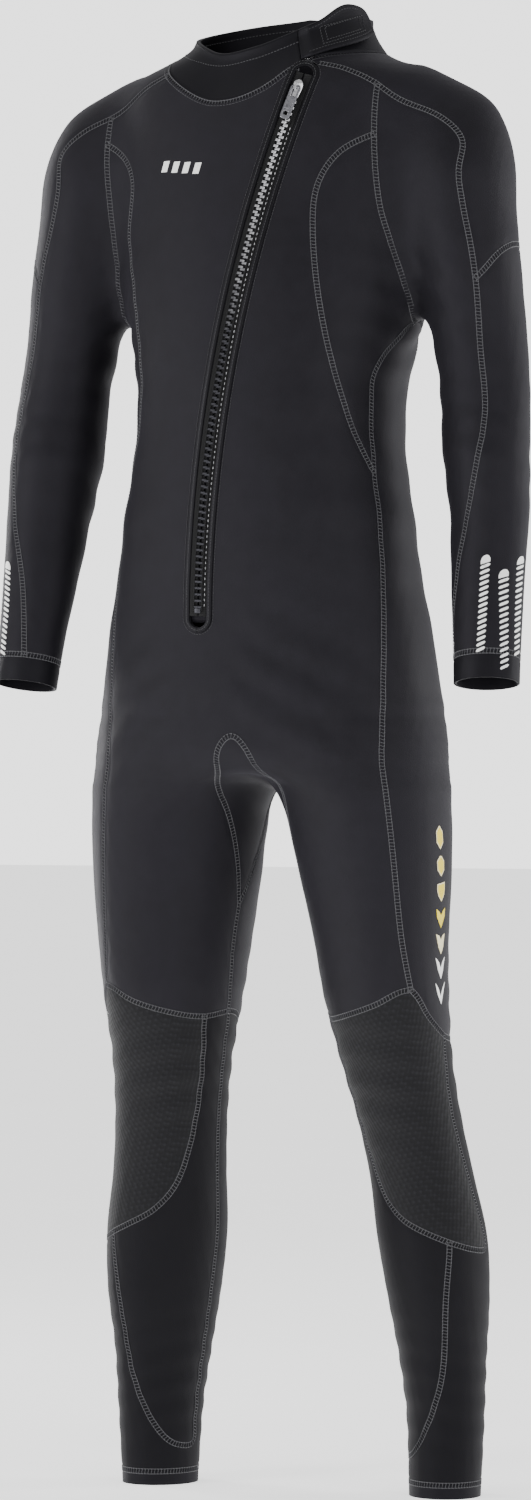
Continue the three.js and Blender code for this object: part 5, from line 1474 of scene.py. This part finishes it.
# ------------------------------------------------------------------ slider and puller
SLIDER_TOP = 10.0
PIVOT = np.array([8.0, 5.9])    # down the slider and proud of the zip


def slider_frame():
    origin = zip_point(SLIDER_TOP, 0, 0)
    x = unit(zip_point(SLIDER_TOP + 1, 0, 0) - origin)
    z = unit(zip_point(SLIDER_TOP, 0, 1) - origin)
    return origin, np.stack([x, np.cross(z, x), z])


def on_slider(points):
    origin, axes = slider_frame()
    return origin + np.asarray(points, float) @ axes


def flat_shape(name, outlines, low, high, bevel, material):
    """Closed outlines in x and y, holes among them, raised between two heights with round edges."""
    curve = bpy.data.curves.new(name, "CURVE")
    curve.dimensions = "2D"
    curve.fill_mode = "BOTH"
    curve.extrude = (high - low) / 2 - bevel
    curve.bevel_depth = bevel
    curve.bevel_resolution = 2
    curve.offset = -bevel
    for outline in outlines:
        spline_line = curve.splines.new("POLY")
        spline_line.points.add(len(outline) - 1)
        for point, (x, y) in zip(spline_line.points, outline):
            point.co = (x, y, 0, 1)
        spline_line.use_cyclic_u = True
    source = bpy.data.objects.new(name + "_outline", curve)
    bpy.context.scene.collection.objects.link(source)
    bpy.context.view_layer.update()
    evaluated = source.evaluated_get(bpy.context.evaluated_depsgraph_get())
    mesh = bpy.data.meshes.new_from_object(evaluated)
    bpy.data.objects.remove(source)
    work = bmesh.new()
    work.from_mesh(mesh)
    bmesh.ops.remove_doubles(work, verts=work.verts, dist=1e-3)
    bmesh.ops.recalc_face_normals(work, faces=work.faces)
    vertices = np.array([v.co[:] for v in work.verts]) + [0, 0, (low + high) / 2]
    work.verts.index_update()
    faces = [[v.index for v in f.verts] for f in work.faces]
    work.free()
    return new_object(name, on_slider(vertices), faces, material, smooth=False)


def ellipse(cx, cy, a, b, count=28):
    t = np.linspace(0, 2 * math.pi, count, endpoint=False)
    return np.stack([cx + a * np.cos(t), cy + b * np.sin(t)], 1)


def rounded_outline(x0, x1, half, corner):
    profile = round_profile(x1 - x0, 2 * half, corner, 6)
    return profile + [(x0 + x1) / 2, 0]


def zip_slider():
    rings = []
    for x in np.concatenate([np.linspace(0.15, 5.6, 10), np.linspace(7, 19, 9)]):
        round_end = math.sqrt(max(1 - ((5.6 - min(x, 5.6)) / 5.6) ** 2, 0.02))
        half = 5.6 * round_end - max(x - 5.6, 0) * 0.075
        rise = 2.2 + 2.4 * math.exp(-((x - 3.2) / 3.6) ** 2) * round_end
        t = np.linspace(0, math.pi, 15)
        top = np.stack([np.full(15, x), half * np.cos(t), 2.0 + rise * np.sin(t) ** 0.7], 1)
        rings.append(on_slider(top))
    dome = loft("slider_dome", rings, SLIDER_METAL)
    finish_piece(dome, "slider_metal", "zip_slider", body="zip_slider")
    parts = [("slider_bridge", [rounded_outline(4.0, 12.0, 1.1, 0.9)], 3.9, 8.9, 0.35),
             ("slider_wing", [rounded_outline(1.5, 19.0, 5.0, 2.0)], -3.4, -2.2, 0.3),
             ("slider_post", [rounded_outline(3.0, 7.0, 0.5, 0.4)], -2.3, 3.0, 0.1)]
    for name, outlines, low, high, bevel in parts:
        obj = flat_shape(name, outlines, low, high, bevel, SLIDER_METAL)
        finish_piece(obj, "slider_metal", body="zip_slider")


def zip_puller():
    start = PIVOT[0] - 0.8
    tag = [rounded_outline(start, start + 36, 5.2, 3.4), rounded_outline(start + 1.7, start + 12.2, 3.2, 0.8),
           ellipse(start + 30.2, 0, 2.2, 3.0)]
    obj = flat_shape("puller_tag", tag, 5.1, 6.7, 0.35, PULLER_METAL)
    finish_piece(obj, "puller_metal", "zip_puller", body="zip_puller")
    plate = flat_shape("puller_plate", [rounded_outline(start + 13.6, start + 25.6, 4.0, 0.8)], 6.4, 7.1,
                       0.25, PULLER_METAL)
    finish_piece(plate, "puller_metal", body="zip_puller")


# ------------------------------------------------------------------ prints
def film(name, pieces, material):
    """Thin prints: each piece is a grid of points on the suit and their outward directions."""
    vertices, faces = [], []
    for points, out in pieces:
        rows, columns = points.shape[:2]
        start = len(vertices)
        vertices += (points + out * 0.32).reshape(-1, 3).tolist()
        vertices += (points - out * 0.3).reshape(-1, 3).tolist()
        under = rows * columns
        at = lambda i, j: start + i * columns + j
        for i in range(rows - 1):
            for j in range(columns - 1):
                quad = (at(i, j), at(i, j + 1), at(i + 1, j + 1), at(i + 1, j))
                faces.append(quad)
                faces.append(tuple(k + under for k in quad[::-1]))
        ring = [at(0, j) for j in range(columns)] + [at(i, columns - 1) for i in range(1, rows)]
        ring += [at(rows - 1, j) for j in range(columns - 2, -1, -1)]
        ring += [at(i, 0) for i in range(rows - 2, 0, -1)]
        for a, b in zip(ring, ring[1:] + ring[:1]):
            faces.append((b, a, a + under, b + under))
    obj = new_object(name, vertices, faces, material, smooth=False)
    work = bmesh.new()
    work.from_mesh(obj.data)
    bmesh.ops.recalc_face_normals(work, faces=work.faces)
    work.to_mesh(obj.data)
    work.free()
    return finish_piece(obj, "jersey_neoprene")


def strip_grid(pairs, per_span=5, across=4):
    """A grid between pairs of points: rows along the strip, columns across it."""
    pairs = np.asarray(pairs, float)
    at = np.linspace(0, len(pairs) - 1, (len(pairs) - 1) * per_span + 1)
    ends = np.stack([[np.interp(at, range(len(pairs)), pairs[:, e, k]) for k in (0, 1)] for e in (0, 1)])
    t = np.linspace(0, 1, across)[None, :, None]
    first, last = ends[0].T[:, None], ends[1].T[:, None]
    return first * (1 - t) + last * t


def on_limb(rows, side, angle, per_degree, grid, height):
    """A flat grid, across and up in millimetres, laid on a limb at an angle and height."""
    z = height + grid[..., 1]
    turn = np.radians(angle + grid[..., 0] / per_degree)
    centre = spline(rows, z)
    reach = 0.8 * (centre[..., 2] + centre[..., 3]) / 2
    start = np.stack([side * (centre[..., 0] + reach * np.sin(turn)),
                      centre[..., 1] - reach * np.cos(turn), z], -1)
    points = settle(start, 7)
    out = unit(slope_at(points))
    return dressed(points, out), out


def dash_grid(length, width, slant):
    """A short slanted bar with rounded ends."""
    t = np.linspace(-1, 1, 9)
    half = width / 2 * np.sqrt(np.maximum(1 - np.maximum(np.abs(t) - 0.6, 0) ** 2 / 0.17, 0.02))
    pairs = [[(u * length / 2, u * slant / 2 - h), (u * length / 2, u * slant / 2 + h)]
             for u, h in zip(t, half)]
    return strip_grid(pairs, 1, 3)


def dome_grid(width, height):
    t = np.linspace(-1, 1, 9)
    pairs = [[(u * width / 2, -height * 0.35 + u * 1.4),
              (u * width / 2, height * 0.75 * math.sqrt(max(1 - u * u, 0.03)) + u * 1.4)] for u in t]
    return strip_grid(pairs, 1, 5)


FOREARM_COLUMNS = [((17, 931), (8, 844), 17), ((46, 917), (53, 827), 17), ((74, 931), (82, 841), 17)]
RIGHT_TURN = 28                 # the right sleeve's marks sit further out


def forearm_prints():
    pieces = []
    bar = dash_grid(10.2, 2.9, 3.8)
    for side in (1, -1):
        for (top_angle, top), (low_angle, low), count in FOREARM_COLUMNS:
            for k in range(count):
                t = k / (count - 1)
                angle = top_angle + (low_angle - top_angle) * t + (RIGHT_TURN if side < 0 else 0)
                grid = bar if k else dome_grid(9.5, 7)
                height = top + (low - top) * t
                pieces.append(on_limb(ARM, side, angle, 0.62, grid, height))
    film("forearm_prints", pieces, WHITE_PRINT)


# Thigh marks, from the top: centre height, and each shape as pairs of points across it.
LOZENGE = [[(0, 11.5), (0.1, 11.5)], [(-3.6, 6), (3.6, 6)], [(-3.8, -5), (3.8, -5)],
           [(0, -11.5), (0.1, -11.5)]]
SHORT_LOZENGE = [[(-1, 10), (1, 10)], [(-4.4, 5), (4.4, 5)], [(-4.2, -4), (4.2, -4)], [(0, -10), (0.1, -10)]]
SHIELD = [[(-5, 7.5), (5, 9.5)], [(-5.4, 2), (5, 3)], [(-4, -4), (4, -3)], [(0, -9.5), (0.1, -9.5)]]
BARB_LEFT = [[(-6.5, 8.5), (-6.2, 9.2)], [(-5.9, 1.0), (-2.6, 6.2)], [(-0.2, -10), (0.1, 2.2)]]
BARB_RIGHT = [[(-x, y + 0.8) for x, y in pair] for pair in BARB_LEFT]


def chevron(width, height, thick):
    """Two slanted arms that meet low in the middle, tapering to their tips."""
    left = [[(-width / 2, height / 2), (-width / 2 + 0.4, height / 2 + 0.3)],
            [(-width * 0.28, 0 - thick * 0.3), (-width * 0.2, thick * 0.9)],
            [(0, -height / 2), (0, -height / 2 + thick * 1.5)]]
    return left, [[(-x, y) for x, y in pair] for pair in left]


THIGH_ANGLE, THIGH_WIDEN = 70, 1.6


def thigh_prints():
    def put(side, shape, height, scale=1.0):
        grid = strip_grid(shape) * scale * [THIGH_WIDEN, 1]
        return on_limb(LEG, side, THIGH_ANGLE, 1.45, grid, height)

    sides = (1, -1)
    yellow = [(LOZENGE, 661), (SHORT_LOZENGE, 633), (SHIELD, 608)]
    film("thigh_prints_rim", [put(side, s, z) for side in sides for s, z in yellow], CREAM_PRINT)
    inner = []
    for side in sides:
        for shape, height in yellow:
            points, out = put(side, shape, height, 0.84)
            inner.append((points + out * 0.12, out))
        inner += [put(side, shape, 582) for shape in (BARB_LEFT, BARB_RIGHT)]
    film("thigh_prints_fill", inner, YELLOW_PRINT)
    pale = [put(side, s, 556) for side in sides for s in chevron(14, 20, 9.5)]
    film("thigh_prints_pale", pale, CREAM_PRINT)
    white = [put(side, s, z) for side in sides for z, thick in ((532, 7.0), (507, 5.0))
             for s in chevron(15, 21, thick)]
    film("thigh_prints_white", white, WHITE_PRINT)


def on_front(x, z):
    """The suit's front face at a place across and up."""
    low, high = np.full(np.shape(x), -170.0), np.full(np.shape(x), 20.0)
    for _ in range(16):
        middle = (low + high) / 2
        outside = body_distance(np.stack([x, middle, z], -1)) > 0
        low, high = np.where(outside, middle, low), np.where(outside, high, middle)
    points = np.stack([x, low, z], -1)
    out = unit(slope_at(points))
    return dressed(points, out), out


def chest_print():
    """A plain mark of slanted bars on the chest."""
    pieces = []
    for k in range(4):
        grid = strip_grid([[(-3.4, -5.5), (3.4, -5.5)], [(-0.6, 5.5), (6.2, 5.5)]], 4, 4)
        pieces.append(on_front(grid[..., 0] - 86 + 12.5 * k, grid[..., 1] + 1327 - 1.2 * k))
    film("chest_print", pieces, WHITE_PRINT)


# ------------------------------------------------------------------ the whole suit
skin = cut_panels()
neck = Neck(skin)
build_panels(skin)
stitch_seams(skin)
collar_band(neck)
collar_flap(neck)
collar_stitches(neck)
flap_stitches(neck)
touch_patch(neck, "loop_patch", 0.8, LOOPS, "loop_fastener", SUIT)
touch_patch(neck, "hook_patch", 2.6, HOOKS, "hook_fastener", "collar_flap")
zip_border("zip_border_left", ZIP_LEFT)
zip_border("zip_border_right", -ZIP_LEFT)
zip_tapes()
zip_teeth()
zip_stitches()
zip_backing()
zip_stop()
zip_slider()
zip_puller()
forearm_prints()
thigh_prints()
chest_print()
for shape in (LADDER, DASH):
    bpy.data.objects.remove(shape)


# ------------------------------------------------------------------ the stage
def plane(name, size, material):
    bpy.ops.mesh.primitive_plane_add(size=size, location=(0, 0, 0))
    obj = bpy.context.object
    obj.name = name
    obj.data.materials.append(material)


def area_light(name, place, target, size, power, colour="#ffffff"):
    data = bpy.data.lights.new(name, "AREA")
    data.shape = "RECTANGLE"
    data.size, data.size_y = size
    data.energy = power
    data.color = srgb(colour)[:3]
    obj = bpy.data.objects.new(name, data)
    bpy.context.scene.collection.objects.link(obj)
    obj.location = place
    way = np.array(target) - np.array(place)
    obj.rotation_euler = (math.atan2(math.hypot(way[0], way[1]), -way[2]), 0,
                          math.atan2(way[0], -way[1]) + math.pi)


def set_stage():
    floor, tree, shader, place = new_material("pale_floor", Roughness=0.9, Emission_Strength=1.15,
                                              Emission_Color=srgb("#ffffff"))
    clouds = add(tree, "ShaderNodeTexNoise", Vector=place, Scale=3.0)
    tree.links.new(tone(tree, clouds.outputs[0], srgb("#ececec"), srgb("#f1f1f1")),
                   shader.inputs["Base Color"])
    plane("floor", 60, floor)
    area_light("key_light", (-2.3, -2.6, 1.5), (0, 0, 0.8), (1.0, 2.4), 62)
    area_light("fill_light", (2.8, -1.6, 1.3), (0, 0, 0.8), (0.8, 2.4), 26)
    area_light("left_rim", (-2.2, 0.9, 1.1), (0, 0, 0.9), (0.6, 2.2), 34)
    area_light("right_rim", (2.0, 1.5, 1.1), (0, 0, 0.8), (0.6, 2.2), 26)
    world = bpy.data.worlds.new("studio")
    bpy.context.scene.world = world
    world.use_nodes = True
    background = world.node_tree.nodes["Background"]
    background.inputs[0].default_value = srgb("#ffffff")
    # Brighter where the camera sees it than in the light it gives.
    seen = add(world.node_tree, "ShaderNodeLightPath").outputs["Is Camera Ray"]
    strength = add(world.node_tree, "ShaderNodeMapRange", Value=seen, To_Min=0.7, To_Max=2.4)
    world.node_tree.links.new(strength.outputs[0], background.inputs[1])


YAW = math.radians(22)
DISTANCE, EYE, AIM = 6.0, 0.747, -0.0055


def set_camera():
    data = bpy.data.cameras.new("camera")
    data.sensor_fit = "VERTICAL"
    data.sensor_height = 36
    data.lens = 36 * DISTANCE / 1.5
    obj = bpy.data.objects.new("camera", data)
    bpy.context.scene.collection.objects.link(obj)
    right = np.array([math.cos(YAW), math.sin(YAW), 0])
    towards = np.array([math.sin(YAW), -math.cos(YAW), 0])
    obj.location = tuple(towards * DISTANCE + right * AIM + [0, 0, EYE])
    obj.rotation_euler = (math.pi / 2, 0, YAW)
    bpy.context.scene.camera = obj


set_stage()
set_camera()
